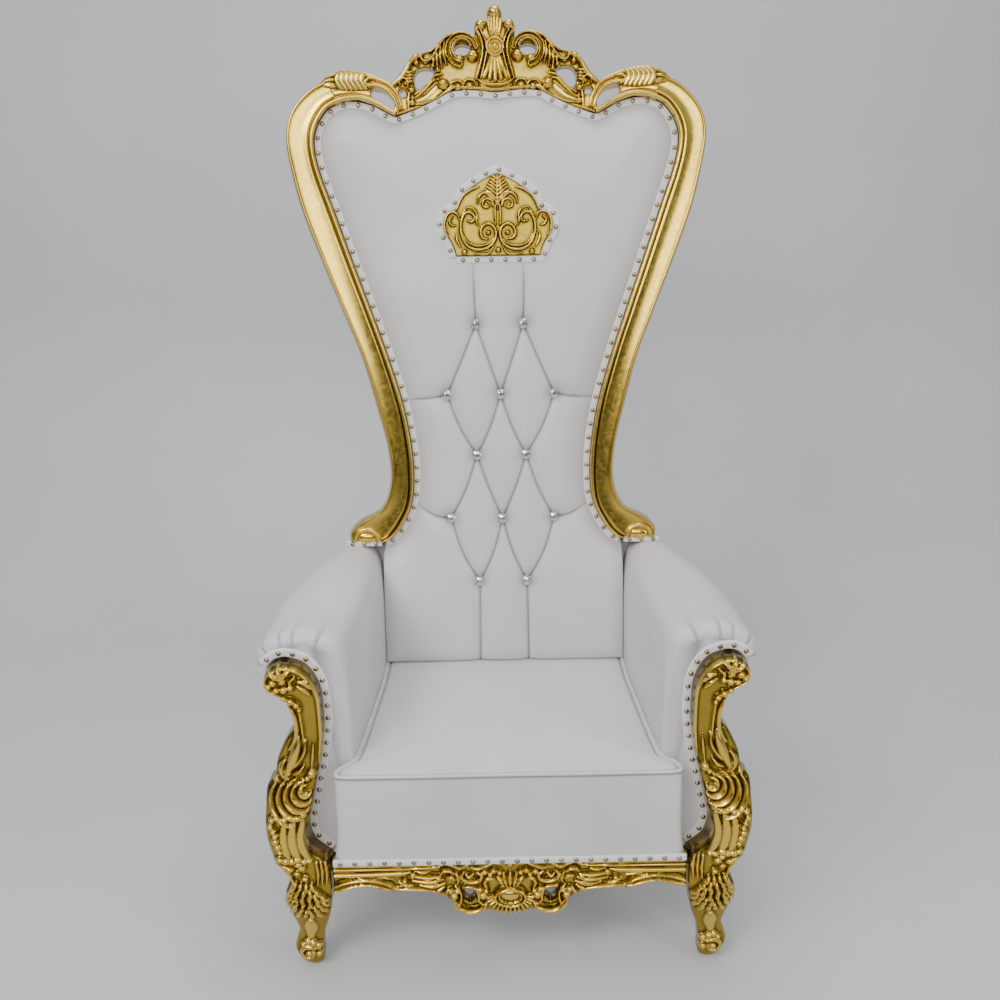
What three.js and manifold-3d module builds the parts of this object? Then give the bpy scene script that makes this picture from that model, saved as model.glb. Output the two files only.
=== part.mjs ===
// Throne armchair: a carved and gilded frame, a tall waisted back padded in white leather with crystal
// buttons, padded arms and a tight box seat. Millimetres, +Z up, the sitter faces -Y.
import * as THREE from 'three';
import { mergeVertices } from 'three/addons/utils/BufferGeometryUtils.js';
import Module from 'manifold-3d';

const wasm = await Module();
wasm.setup();

// Driving dimensions

const GAP = 0.3;                    // clearance between pieces that touch
const CARVE_SINK = 2;               // how far a carved ridge is rooted in the wood behind it
const BROAD_RIDGE = 28;             // a wider ridge has a flat top, a narrower one a sharp crest

const SEAT_HALF = 338;              // half width between the carved posts, at the front rail
const BACK_LEAN = 8;                // degrees that the back leans from upright
const BACK_PIVOT_Y = 170;           // depth of the carved face of the back at the pivot height
const BACK_PIVOT_Z = 720;           // height at which the back stands on the arms
const STILE_FACE = -16;             // scooped face of the stile, measured forward from the back's plane
const STILE_BEAD = -26;             // top of the two beads beside it
const STILE_REAR = 24;              // rear of the carved frame
const STILE_FLARE = 9;              // how far the side of the stile spreads from front to rear
const CREST_FACE = -6;              // flat ground of the crest
const PANEL_THICK = 20;             // outer back panel
const PANEL_INSET = 12;             // panel edge inside the frame's edge
const PAD_EDGE = -4;                // face of the back pad where the braid lies
const PAD_CROWN = -38;              // face of the back pad at its middle
const PAD_HALF = 266;               // half width of the back pad between the arms

const ARM_TOP_Z = 701;              // top of the padded arms
const ARM_FRONT_Y = -300;           // front of the arms, where the carved posts stand
const ARM_OUTER_FRONT = SEAT_HALF + 112;    // outer side of the arm roll at its front
const ARM_OUTER_REAR = 360;         // outer side of the arm roll at the back
const ARM_INNER_FRONT = SEAT_HALF - 48;     // inner side of the arm at its front
const ARM_ROLL_OVERHANG = 54;       // how far the roll stands out over the arm's outer wall
const ARM_WALL_TOP_Z = 560;         // top of the outer wall, under the roll

const SEAT_TOP_Z = 442;             // edge of the cushion
const SEAT_CROWN = 16;              // rise of the cushion at its middle
const SEAT_FRONT_Y = -354;          // front edge of the cushion
const SEAT_REAR_Y = 118;            // rear edge of the cushion, under the back pad
const SEAT_EAR_HALF = SEAT_HALF - 20;       // half width of the cushion in front of the arms
const SEAT_RAIL_TOP_Z = 252;        // underside of the cushion and of the arms
const BASE_BOTTOM_Z = 196;          // underside of the seat frame
const BASE_REAR_Y = 128;            // rear of the seat frame

const LEG_REAR_TOP = 62;            // rear leg, square section at the seat
const LEG_REAR_FOOT = 44;           // rear leg, square section at the floor
const LEG_REAR_RAKE = 160;          // how far the rear foot stands behind the leg's top
const LEG_REAR_X = 262;             // half distance between the rear legs

const APRON_FACE_Y = -335;          // flat ground of the front rail
const APRON_THICK = 25;
const APRON_HALF = SEAT_HALF - 2;   // half length, between the posts
const BRAID_WIDTH = 14;
const BRAID_THICK = 3.5;
const PLAQUE_THICK = 7;
const BUTTON_RADIUS = 11;
const BUTTON_HEIGHT = 9;

// Half outlines, right side of the chair, x outward

// The stile from its foot up and over the shoulder: inner edge, then outer edge, as x and height on the back.
const STILE_STATIONS = [
  [262, -10, 343, -10], [243, 1, 341, 10], [222, 27, 318, 34], [201, 72, 270, 62],
  [194, 127, 249, 120], [197, 200, 253, 196], [212, 290, 272, 280], [240, 390, 300, 388],
  [272, 487, 335, 482], [306, 586, 372, 580], [344, 700, 412, 692], [369, 774, 433, 780],
  [379, 826, 441, 848], [373, 864, 427, 900], [350, 899, 388, 943], [318, 915, 340, 966],
  [288, 917, 292, 972], [252, 908, 240, 962], [224, 893, 208, 936], [207, 885, 191, 904],
];
// Lower edge of the crest, from the middle out, where the pad meets it.
const CREST_LOWER = [[0, 931], [54, 936], [92, 933], [118, 921], [150, 906], [184, 893], [207, 885]];
// Upper edge of the crest, from the shoulder in to the top of the finial.
const CREST_UPPER = [
  [210, 912], [208, 934], [219, 956], [198, 978], [182, 997], [166, 1010], [150, 1009], [127, 1026],
  [101, 1044], [74, 1052], [52, 1046], [44, 1040], [42, 1056], [34, 1071], [20, 1066], [15, 1076],
  [13, 1091], [0, 1096],
];
const SCROLL_HOLE = [[48, 1014], [66, 1010], [84, 1010], [88, 1020], [80, 1029], [64, 1031], [50, 1026]];
const SIDE_HOLE = [[131, 970], [150, 955], [164, 941], [171, 960], [169, 982], [150, 986], [133, 985]];
const SMALL_HOLE = [[187, 934], [197, 932], [203, 944], [196, 954], [187, 948]];
// Carved post and leg: height, inner edge, outer edge, front face, as drawn with the seat at this half width.
const POST_DRAWN_HALF = 338;
const POST_STATIONS = [
  [0, 372, 402, -329], [14, 369, 415, -335], [42, 368, 422, -341], [85, 361, 412, -340],
  [132, 347, 422, -349], [180, 340, 428, -357], [218, 339, 415, -358], [238, 339, 423, -360],
  [254, 340, 438, -363], [281, 368, 443, -367], [318, 377, 448, -371], [350, 370, 449, -370],
  [420, 355, 442, -356], [438, 350, 427, -352], [473, 343, 420, -349], [513, 337, 401, -346],
  [533, 335, 387, -345], [572, 335, 391, -346], [594, 336, 404, -347], [614, 340, 428, -349],
  [636, 350, 431, -350], [652, 364, 422, -350], [661, 384, 407, -348],
];
// Lower edge of the apron, from the middle out: x and height.
const APRON_LOWER = [
  [0, 125], [44, 131], [75, 127], [102, 141], [130, 169], [160, 180], [192, 181], [220, 182],
  [245, 191], [276, 197], [305, 192], [336, 183],
];
const APRON_HOLE = [[76, 150], [86, 158], [86, 176], [79, 187], [69, 187], [65, 172], [66, 158]];
// Crown plaque, from the top of the leaf down the side.
const PLAQUE_EDGE = [
  [0, 765], [24, 755], [48, 741], [70, 723], [82, 703], [90, 691], [106, 683], [114, 667], [111, 645],
  [97, 625], [88, 599],
];
const BUTTON_PLACES = [
  [-50, 460], [50, 460], [-115, 311], [0, 311], [115, 311], [-53, 180], [53, 180], [-113, 41], [0, 40],
  [113, 41], [-52, -101], [52, -101],
];

// Materials

const gold = new THREE.MeshStandardMaterial({ color: 0xc8a03a, roughness: 0.28, metalness: 1 });
const leather = new THREE.MeshStandardMaterial({ color: 0xeceaea, roughness: 0.55, metalness: 0 });
const braid = new THREE.MeshStandardMaterial({ color: 0xe9e7ee, roughness: 0.7, metalness: 0 });
const crystal = new THREE.MeshStandardMaterial({ color: 0xdfe6ee, roughness: 0.08, metalness: 0 });

// Plain geometry helpers

const lerp = THREE.MathUtils.lerp;
const toRadians = THREE.MathUtils.degToRad;

function signedArea(points) {
  return THREE.ShapeUtils.area(points.map(([x, y]) => new THREE.Vector2(x, y)));
}

// Triangles of a flat ring, turned the same way round as the ring itself.
function ringTriangles(points) {
  const flat = points.map(([x, y]) => new THREE.Vector2(x, y));
  const faces = THREE.ShapeUtils.triangulateShape(flat, []);
  const corners = faces[0].map((index) => points[index]);
  const turned = Math.sign(signedArea(corners)) !== Math.sign(signedArea(points));
  return faces.map(([a, b, c]) => (turned ? [a, c, b] : [a, b, c]));
}

// A ring seen flat, along the one of the three axes from which it shows its largest area.
function flatten(ring) {
  const views = [[0, 1], [1, 2], [0, 2]].map(([a, b]) => ring.map((point) => [point[a], point[b]]));
  const areas = views.map((view) => Math.abs(signedArea(view)));
  return views[areas.indexOf(Math.max(...areas))];
}

function makeGeometry(points, triangles) {
  const geometry = new THREE.BufferGeometry();
  geometry.setAttribute('position', new THREE.Float32BufferAttribute(points.flat(), 3));
  const [a, b, c] = [new THREE.Vector3(), new THREE.Vector3(), new THREE.Vector3()];
  let volume = 0;
  for (const [i, j, k] of triangles) {
    a.fromArray(points[i]);
    b.fromArray(points[j]);
    c.fromArray(points[k]);
    volume += a.dot(b.cross(c));
  }
  const outward = volume > 0 ? triangles : triangles.map(([i, j, k]) => [i, k, j]);
  geometry.setIndex(outward.flat());
  return geometry;
}

// A closed body through rings with the same number of points, with flat ends.
function loft(rings) {
  const count = rings[0].length;
  const triangles = ringTriangles(flatten(rings[0])).map(([a, b, c]) => [a, c, b]);
  for (let r = 0; r + 1 < rings.length; r += 1) {
    for (let i = 0; i < count; i += 1) {
      const next = (i + 1) % count;
      const [a, b] = [r * count + i, r * count + next];
      triangles.push([a, b, b + count], [a, b + count, a + count]);
    }
  }
  const last = (rings.length - 1) * count;
  for (const [a, b, c] of ringTriangles(flatten(rings[rings.length - 1]))) {
    triangles.push([a + last, b + last, c + last]);
  }
  return makeGeometry(rings.flat(), triangles);
}

// An upright plate: an outline in x and height with holes, between two depths.
function plate(outline, holes, front, rear) {
  const turned = signedArea(outline) > 0 ? outline : outline.slice().reverse();
  const shape = new THREE.Shape(turned.map(([x, z]) => new THREE.Vector2(x, z)));
  shape.holes = holes.map((hole) => new THREE.Path(hole.map(([x, z]) => new THREE.Vector2(x, z))));
  const geometry = new THREE.ExtrudeGeometry(shape, { depth: rear - front, bevelEnabled: false });
  geometry.rotateX(Math.PI / 2);
  geometry.translate(0, rear, 0);
  return geometry;
}

function bothSides(half) {
  const mirrored = half.filter(([x]) => x > 0).map(([x, z]) => [-x, z]);
  return [...half, ...mirrored.reverse()];
}

const mirrorPoints = (points) => points.map(([x, ...rest]) => [-x, ...rest]);

// The path moved sideways by a distance, to the left of its direction.
function offsetPath(path, distance) {
  return path.map(([x, z], index) => {
    const before = path[Math.max(index - 1, 0)];
    const after = path[Math.min(index + 1, path.length - 1)];
    const [dx, dz] = [after[0] - before[0], after[1] - before[1]];
    const length = Math.hypot(dx, dz);
    return [x - (dz / length) * distance, z + (dx / length) * distance];
  });
}

// Solids that are joined or cut

// The same body with each corner held once, no triangle without area and its faces turned outward.
function welded(geometry) {
  const bare = geometry.clone();
  bare.deleteAttribute('normal');
  bare.deleteAttribute('uv');
  const merged = mergeVertices(bare, 1e-3);
  const points = Array.from({ length: merged.attributes.position.count }, (_, index) => (
    new THREE.Vector3().fromBufferAttribute(merged.attributes.position, index).toArray()
  ));
  const { array } = merged.index;
  const triangles = [];
  for (let i = 0; i < array.length; i += 3) {
    const [a, b, c] = [array[i], array[i + 1], array[i + 2]];
    if (a !== b && b !== c && c !== a) triangles.push([a, b, c]);
  }
  return makeGeometry(points, triangles);
}

function toSolid(geometry) {
  const body = welded(geometry);
  return new wasm.Manifold(new wasm.Mesh({
    numProp: 3,
    vertProperties: new Float32Array(body.attributes.position.array),
    triVerts: new Uint32Array(body.index.array),
  }));
}

function toGeometry(solid) {
  const mesh = solid.getMesh();
  const geometry = new THREE.BufferGeometry();
  geometry.setAttribute('position', new THREE.BufferAttribute(mesh.vertProperties, 3));
  geometry.setIndex(new THREE.BufferAttribute(mesh.triVerts, 1));
  return geometry;
}

function joined(geometries, cuts = []) {
  const whole = geometries.map(toSolid).reduce((sum, solid) => sum.add(solid));
  return toGeometry(cuts.map(toSolid).reduce((rest, cut) => rest.subtract(cut), whole));
}

function mirrored(geometry) {
  return welded(geometry.clone().scale(-1, 1, 1));
}

const withMirror = (geometries) => [...geometries, ...geometries.map(mirrored)];

// Carving

// A rounded ridge on a carved face. The path holds x, height and, if given, a share of the full size.
function ridge(path, width, height, faceAt) {
  const rings = path.map(([x, z, share = 1], index) => {
    const before = path[Math.max(index - 1, 0)];
    const after = path[Math.min(index + 1, path.length - 1)];
    const length = Math.hypot(after[0] - before[0], after[1] - before[1]);
    const [nx, nz] = [-(after[1] - before[1]) / length, (after[0] - before[0]) / length];
    const section = width > BROAD_RIDGE ? [[-0.5, 0], [-0.3, 1], [0.3, 1], [0.5, 0]]
      : [[-0.5, 0], [0, 1], [0.5, 0]];
    return section.map(([side, rise]) => {
      const across = side * width * share;
      const depth = faceAt(x, z) + CARVE_SINK - rise * (height * share + CARVE_SINK);
      return [x + nx * across, depth, z + nz * across];
    });
  });
  return loft(rings);
}

// A boss: a faceted half ball standing out of a carved face.
function boss(x, z, radius, faceAt) {
  const profile = [[0, -0.3], [1, -0.3], [0.8, 0.6], [0, 1]];
  const ball = new THREE.LatheGeometry(profile.map(([r, h]) => new THREE.Vector2(r * radius, h * radius)), 5);
  ball.rotateX(Math.PI);
  ball.translate(x, faceAt(x, z), z);
  return ball;
}

// A volute: a path that winds in about a centre while it narrows.
function volute(centreX, centreZ, startRadius, endRadius, startAngle, sweep, steps) {
  return Array.from({ length: steps + 1 }, (_, step) => {
    const t = step / steps;
    const radius = lerp(startRadius, endRadius, t);
    const angle = toRadians(startAngle + sweep * t);
    return [centreX + radius * Math.cos(angle), centreZ + radius * Math.sin(angle), lerp(1, 0.6, t)];
  });
}

// A leaf lobe: a ridge from root to tip that swells in the middle and ends in a point.
function leaf(root, tip, bend, width, height, faceAt) {
  const steps = 2;
  const [dx, dz] = [tip[0] - root[0], tip[1] - root[1]];
  const path = Array.from({ length: steps + 1 }, (_, step) => {
    const t = step / steps;
    const bow = bend * Math.sin(Math.PI * t);
    const share = 0.35 + 0.65 * Math.sin(Math.PI * (0.2 + 0.75 * t));
    return [root[0] + dx * t - dz * bow, root[1] + dz * t + dx * bow, share];
  });
  return ridge(path, width, height, faceAt);
}

// The carved frame of the back, in the back's own plane: x, depth, height along the back

function stile() {
  const rings = STILE_STATIONS.map(([innerX, innerV, outerX, outerV]) => {
    const width = Math.hypot(outerX - innerX, outerV - innerV);
    const fit = Math.min(1, width / 50);
    const edge = width - STILE_FLARE * fit;
    const section = [
      [0, STILE_REAR], [0, STILE_BEAD + 6], [5 * fit, STILE_BEAD], [13 * fit, STILE_FACE],
      [edge - 10 * fit, STILE_FACE], [edge - 4 * fit, STILE_BEAD], [edge, STILE_BEAD + 5],
      [width, STILE_REAR],
    ];
    return section.map(([across, depth]) => {
      const share = across / width;
      return [lerp(innerX, outerX, share), depth, lerp(innerV, outerV, share)];
    });
  });
  return loft(rings);
}

function shoulderCarving() {
  const face = () => STILE_FACE;
  const ribs = [0, 1, 2, 3].map((index) => {
    const x = 318 - index * 15;
    return ridge([[x + 5, 961, 0.7], [x - 5, 944], [x + 5, 926, 0.6]], 12, 9, face);
  });
  const tip = leaf([322, 944], [352, 950], 0.1, 14, 8, face);
  const band = ridge([[268, 962, 0.7], [240, 953], [218, 938], [203, 918], [197, 900, 0.6]], 10, 11, face);
  const footScroll = ridge(volute(300, -4, 26, 12, 0, 180, 5), 8, 9, face);
  return [...ribs, tip, band, footScroll];
}

function crestPlate() {
  const half = [...CREST_LOWER, ...CREST_UPPER];
  const holes = [SCROLL_HOLE, SIDE_HOLE, SMALL_HOLE];
  return plate(bothSides(half), [...holes, ...holes.map(mirrorPoints)], CREST_FACE, STILE_REAR);
}

function crestSide() {
  const face = () => CREST_FACE;
  const carved = [
    ridge([[8, 941], [54, 945], [92, 942], [122, 929], [152, 915], [190, 900, 0.8]], 11, 11, face),
    ridge([[196, 906, 0.7], [172, 926], [150, 943], [128, 960], [112, 978, 0.5]], 10, 10, face),
    ridge([[40, 1030, 0.7], [52, 1040], [74, 1045], [101, 1036], [127, 1018], [148, 1003], [160, 1003, 0.7]],
      14, 16, face),
    ridge([[56, 1026, 0.6], [70, 1033], [88, 1031], [99, 1018], [97, 1002], [86, 992, 0.6]], 11, 12, face),
    leaf([112, 1026], [136, 984], 0.08, 15, 12, face),
    leaf([104, 1020], [112, 980], 0.06, 14, 13, face),
    ridge([[170, 1000, 0.7], [184, 986], [202, 968], [216, 955, 0.7]], 15, 13, face),
  ];
  const bosses = [
    [31, 1060, 11], [48, 1008, 10], [74, 1000, 8], [115, 952, 9], [158, 1004, 10], [176, 940, 8],
  ].map(([x, v, radius]) => boss(x, v, radius, face));
  return [...carved, ...bosses];
}

function crestMiddle() {
  const face = () => CREST_FACE;
  const shield = ridge(
    [[0, 944, 0.98], [0, 956, 0.9], [0, 975, 0.86], [0, 998, 0.72], [0, 1030, 0.72], [0, 1056, 1]],
    86, 12, face,
  );
  const raised = () => CREST_FACE - 9;
  const flutes = [-1, 0, 1].flatMap((place) => [
    leaf([place * 8, 1036], [place * 22, 1066 - Math.abs(place) * 8], 0, 13, 8, raised),
    leaf([place * 8, 1000], [place * 20, 958], 0, 13, 8, raised),
  ]);
  const rim = new THREE.LatheGeometry(
    [[0, 0], [0, 12], [9, 12], [13, 17], [18, 10], [18, 0], [0, 0]].map(([r, h]) => new THREE.Vector2(r, h)),
    8,
  );
  rim.rotateX(Math.PI);
  rim.translate(0, CREST_FACE, 1018);
  const middle = () => CREST_FACE - 13;
  return [
    shield, ...flutes, rim, boss(0, 1018, 7, middle), boss(0, 1083, 14, () => CREST_FACE + 2),
    ridge([[-44, 950, 0.5], [-22, 943], [0, 940], [22, 943], [44, 950, 0.5]], 9, 16, face),
  ];
}

function backFrame() {
  const side = withMirror([stile(), ...shoulderCarving(), ...crestSide()]);
  const eye = new THREE.CylinderGeometry(13, 13, 200, 10);
  eye.scale(2.1, 1, 1);
  eye.rotateY(toRadians(-36));
  eye.translate(229, 0, 925);
  return joined([crestPlate(), ...side, ...crestMiddle()], withMirror([eye]));
}

// Inner edge of the carved frame, from the right foot over the top to the left foot.
function innerEdge() {
  const stileEdge = STILE_STATIONS.map(([x, v]) => [x, v]);
  const right = [...stileEdge, ...CREST_LOWER.slice(0, -1).reverse()];
  return [...right, ...mirrorPoints(right.slice(0, -1)).reverse()];
}

function padFoot() {
  return [[PAD_HALF, -60], [PAD_HALF, -160], [PAD_HALF, padBottom()]];
}

const padBottom = () => (SEAT_TOP_Z + SEAT_CROWN - 4 - BACK_PIVOT_Z) / Math.cos(toRadians(BACK_LEAN));

// The pad: the frame's inner edge, a ledge for the braid, and a crown drawn in to a spine down its middle.
function backPad() {
  const foot = padFoot();
  const edge = [...foot.slice().reverse(), ...innerEdge(), ...mirrorPoints(foot)];
  const side = offsetPath(edge, GAP * 2);
  const ledge = offsetPath(edge, BRAID_WIDTH + 6);
  const spineTop = 780;
  const drawIn = ([x, v], share, depth) => {
    const spineV = THREE.MathUtils.clamp(v, padBottom() + 60, spineTop);
    return [x * (1 - share), depth, lerp(v, spineV, share)];
  };
  const crown = [[0, PAD_EDGE], [0.12, -25], [0.5, PAD_CROWN]];
  return loft([
    side.map(([x, v]) => [x, STILE_REAR, v]),
    side.map(([x, v]) => [x, PAD_EDGE, v]),
    ...crown.map(([share, depth]) => ledge.map((point) => drawIn(point, share, depth))),
  ]);
}

function backBraid() {
  const edge = innerEdge();
  const near = offsetPath(edge, GAP * 3);
  const far = offsetPath(edge, GAP * 3 + BRAID_WIDTH);
  const [low, high] = [PAD_EDGE - GAP, PAD_EDGE - GAP - BRAID_THICK];
  return loft(edge.map((_, index) => [
    [near[index][0], low, near[index][1]], [near[index][0], high, near[index][1]],
    [far[index][0], high, far[index][1]], [far[index][0], low, far[index][1]],
  ]));
}

// The panel ends just over the pad under the shoulder's see-through eye.
function backPanel() {
  const outer = STILE_STATIONS.map(([, , x, v]) => [x, v]);
  const upper = offsetPath(outer, PANEL_INSET).slice(3, -5);
  const underEye = STILE_STATIONS.slice(-4).map(([x, v]) => [x - 3, v + 9]);
  const top = [...underEye, ...CREST_LOWER.map(([x, v]) => [x, v + PANEL_INSET]).reverse().slice(1)];
  const bottomV = (BASE_BOTTOM_Z + 2 - BACK_PIVOT_Z) / Math.cos(toRadians(BACK_LEAN));
  const lowHalf = ARM_OUTER_REAR - ARM_ROLL_OVERHANG;
  const low = [
    [lowHalf, bottomV], [lowHalf, -160], [lowHalf + 20, -130], [ARM_OUTER_REAR - 14, -90],
    [ARM_OUTER_REAR - 8, -50], [ARM_OUTER_REAR - 30, -16], [300, 14],
  ];
  const half = [...low, ...upper, ...top];
  const outline = [...half, ...mirrorPoints(half.filter(([x]) => x > 0)).reverse()];
  return plate(outline, [], STILE_REAR + GAP, STILE_REAR + GAP + PANEL_THICK);
}

// Crown plaque and its braid

const padFront = PAD_CROWN - GAP;

function plaque() {
  const ground = padFront - PLAQUE_THICK;
  const face = () => ground;
  const side = withMirror([
    ridge(volute(23, 702, 18, 7, 200, -330, 5), 8, 6, face),
    ridge([[4, 612, 0.6], [6, 650], [8, 700, 0.8]], 7, 5, face),
    ridge([...volute(24, 644, 9, 21, 300, 300, 5), [52, 621], [72, 642], [75, 672, 0.6]], 8, 6, face),
    ridge([[50, 672, 0.5], [52, 688], [66, 692], [74, 676, 0.5]], 7, 6, face),
    ridge(volute(94, 668, 13, 6, 240, -270, 5), 8, 6, face),
    ridge([[80, 698, 0.5], [70, 718], [50, 733], [28, 740, 0.5]], 7, 5, face),
  ]);
  const middle = [
    ridge([[0, 700, 0.5], [0, 725], [0, 758, 0.4]], 9, 7, face),
  ];
  return joined([plate(bothSides(PLAQUE_EDGE), [], ground, padFront), ...side, ...middle]);
}

function plaqueBraid() {
  const edge = bothSides(PLAQUE_EDGE);
  const turn = (index) => edge[(index + edge.length) % edge.length];
  const around = (distance) => edge.map(([x, z], index) => {
    const [before, after] = [turn(index - 1), turn(index + 1)];
    const [a, b] = [[x - before[0], z - before[1]], [after[0] - x, after[1] - z]].map(([dx, dz]) => {
      const length = Math.hypot(dx, dz);
      return [-dz / length, dx / length];
    });
    const [nx, nz] = [a[0] + b[0], a[1] + b[1]];
    const scale = distance / Math.max(0.5 * (nx * nx + nz * nz), 0.5);
    return [x + nx * scale, z + nz * scale];
  });
  const high = padFront - BRAID_THICK;
  const outside = around(GAP + BRAID_WIDTH);
  const inside = around(GAP);
  return plate(outside, [inside], high, padFront);
}

// Depth of a body's front where a line from front to rear meets it.
function frontDepth(body, x, v) {
  const reach = 500;
  const ray = new THREE.Raycaster(new THREE.Vector3(x, -reach, v), new THREE.Vector3(0, 1, 0));
  return ray.intersectObject(body)[0].point.y;
}

// A crystal button: a faceted dome that sits on the most forward point of the pad under it.
function button(x, v, pad) {
  const sides = [[0, 0], [-1, 0], [1, 0], [0, -1], [0, 1]];
  const depths = sides.map(([dx, dv]) => frontDepth(pad, x + dx * BUTTON_RADIUS, v + dv * BUTTON_RADIUS));
  const profile = [[0, 0], [BUTTON_RADIUS, 0], [BUTTON_RADIUS * 0.6, BUTTON_HEIGHT], [0, BUTTON_HEIGHT]];
  const geometry = new THREE.LatheGeometry(profile.map(([r, h]) => new THREE.Vector2(r, h)), 6);
  geometry.rotateX(Math.PI);
  geometry.translate(x, Math.min(...depths) - GAP, v);
  return welded(geometry);
}

// Arms: sections in x and height that run from the posts to the back

const rearY = (z) => BACK_PIVOT_Y + (z - BACK_PIVOT_Z) * Math.tan(toRadians(BACK_LEAN))
  + STILE_REAR / Math.cos(toRadians(BACK_LEAN));

// Inner and outer side of the arm and its depth at a height, from its front, 0, to its rear, 1.
// The outside runs nearly straight and then sweeps in to the back.
function armPlan(share, z) {
  const ease = Math.sqrt(share) * 0.4 + share * 0.6;
  return {
    inner: lerp(ARM_INNER_FRONT, PAD_HALF + GAP * 2, Math.min(1, ease * 1.25)),
    outer: lerp(ARM_OUTER_FRONT, ARM_OUTER_REAR, share ** 3.2),
    y: lerp(ARM_FRONT_Y, rearY(z) - GAP * 2, share),
  };
}

const ARM_STATIONS = [0, 0.2, 0.45, 0.68, 0.86, 1];

function arm() {
  return loft(ARM_STATIONS.map((share) => {
    const { inner, outer } = armPlan(share, ARM_TOP_Z);
    const wall = outer - ARM_ROLL_OVERHANG;
    const section = [
      [inner, SEAT_RAIL_TOP_Z], [inner, 610], [inner + 5, 652], [inner + 20, 686],
      [lerp(inner, outer, 0.45), ARM_TOP_Z], [lerp(inner, outer, 0.72), ARM_TOP_Z - 4], [outer - 12, 680],
      [outer, 652], [outer - 4, 616], [outer - 24, 584], [wall, ARM_WALL_TOP_Z], [wall, SEAT_RAIL_TOP_Z],
    ];
    return section.map(([x, z]) => [x, armPlan(share, z).y, z]);
  }));
}

// Seat cushion: a box with ears in front of the arms and a crowned top

function seatCushion() {
  const clear = GAP * 2;
  const half = [
    [SEAT_EAR_HALF, SEAT_FRONT_Y], [SEAT_EAR_HALF, ARM_FRONT_Y - 18],
    [SEAT_EAR_HALF - 8, ARM_FRONT_Y - 11],
    ...ARM_STATIONS.slice(0, -1).map((share) => {
      const { inner, y } = armPlan(share, SEAT_RAIL_TOP_Z);
      return [inner - clear * 2, y - clear];
    }),
    [PAD_HALF - clear, SEAT_REAR_Y],
  ];
  const outline = bothSides(half);
  const centre = [0, -180];
  const level = (share, z) => outline.map(([x, y]) => [
    lerp(x, centre[0], share), lerp(y, centre[1], share), z,
  ]);
  const edge = 8;
  return loft([
    level(0.02, SEAT_RAIL_TOP_Z), level(0, SEAT_RAIL_TOP_Z + edge), level(0, SEAT_TOP_Z - edge),
    level(0.025, SEAT_TOP_Z), level(0.25, SEAT_TOP_Z + SEAT_CROWN * 0.7),
    level(0.6, SEAT_TOP_Z + SEAT_CROWN),
  ]);
}

// The seat frame keeps just inside the outer walls of the arms.
function seatBase() {
  const top = SEAT_RAIL_TOP_Z - GAP;
  const ring = (z) => {
    const side = ARM_STATIONS.map((share) => {
      const { outer, y } = armPlan(share, z);
      return [outer - ARM_ROLL_OVERHANG - 1, share === 0 ? y + GAP : y];
    });
    return [...side, ...mirrorPoints(side).reverse()].map(([x, y]) => [x, y, z]);
  };
  return loft([ring(BASE_BOTTOM_Z), ring(top)]);
}

// Carved post and front leg in one piece

function postBody() {
  const rings = POST_STATIONS.map(([z, inner, outer, front]) => {
    const width = outer - inner;
    const rim = Math.min(9, width * 0.14);
    const channel = z > 240 ? 9 : 1;
    const back = ARM_FRONT_Y - GAP;
    const section = [
      [inner, back], [inner, front + 14], [inner + rim, front],
      [inner + rim * 2.2, front + channel * 0.6], [inner + width * 0.5, front + channel],
      [outer - rim * 2.2, front + channel * 0.5], [outer - rim, front + 1], [outer, front + 16],
      [outer, back],
    ];
    return section.map(([x, y]) => [x, y, z]);
  });
  return loft(rings);
}

// Depth of the post's carved face at a height.
function postFace(x, z) {
  const index = Math.max(1, POST_STATIONS.findIndex(([height]) => height >= z));
  const [low, high] = [POST_STATIONS[index - 1], POST_STATIONS[index]];
  const share = (z - low[0]) / (high[0] - low[0]);
  return lerp(low[3], high[3], share) + 5;
}

function post() {
  const crescents = [0, 1, 2, 3].map((index) => {
    const [x, z] = [370 + index * 17, 412 - index * 8];
    return ridge([[x + 8, z + 18, 0.5], [x - 12, z + 4], [x + 4, z - 16, 0.6]], 13, 9, postFace);
  });
  const carved = [
    ridge(volute(397, 628, 27, 11, 110, -290, 5), 12, 9, postFace),
    leaf([404, 452], [382, 514], -0.1, 20, 11, postFace),
    ridge([[372, 552, 0.5], [364, 520], [366, 486], [378, 456, 0.5]], 10, 6, postFace),
    ridge([[400, 352, 0.5], [410, 320], [408, 290], [394, 268, 0.5]], 30, 8, postFace),
    leaf([386, 214], [386, 132], 0, 30, 12, postFace),
    leaf([392, 206], [412, 142], 0.1, 20, 11, postFace),
    leaf([376, 206], [358, 142], -0.1, 20, 11, postFace),
    boss(392, 256, 10, postFace),
    boss(400, 448, 12, postFace),
    boss(398, 46, 16, (x, z) => postFace(x, z) + 6),
  ];
  return joined([postBody(), ...crescents, ...carved]).translate(SEAT_HALF - POST_DRAWN_HALF, 0, 0);
}

// Braid beside the post, up its inner edge and over its head, on the front of the arm.
function postBraid() {
  const path = POST_STATIONS.filter(([z]) => z > SEAT_RAIL_TOP_Z).map(([z, inner]) => [inner, z]);
  path.push([398, 664], [413, 661], [424, 654]);
  const near = offsetPath(path, GAP * 4);
  const far = offsetPath(path, GAP * 4 + BRAID_WIDTH);
  const [low, high] = [ARM_FRONT_Y - GAP, ARM_FRONT_Y - GAP - BRAID_THICK];
  return loft(path.map((_, index) => [
    [near[index][0], low, near[index][1]], [near[index][0], high, near[index][1]],
    [far[index][0], high, far[index][1]], [far[index][0], low, far[index][1]],
  ])).translate(SEAT_HALF - POST_DRAWN_HALF, 0, 0);
}

// Carved front rail

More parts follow.
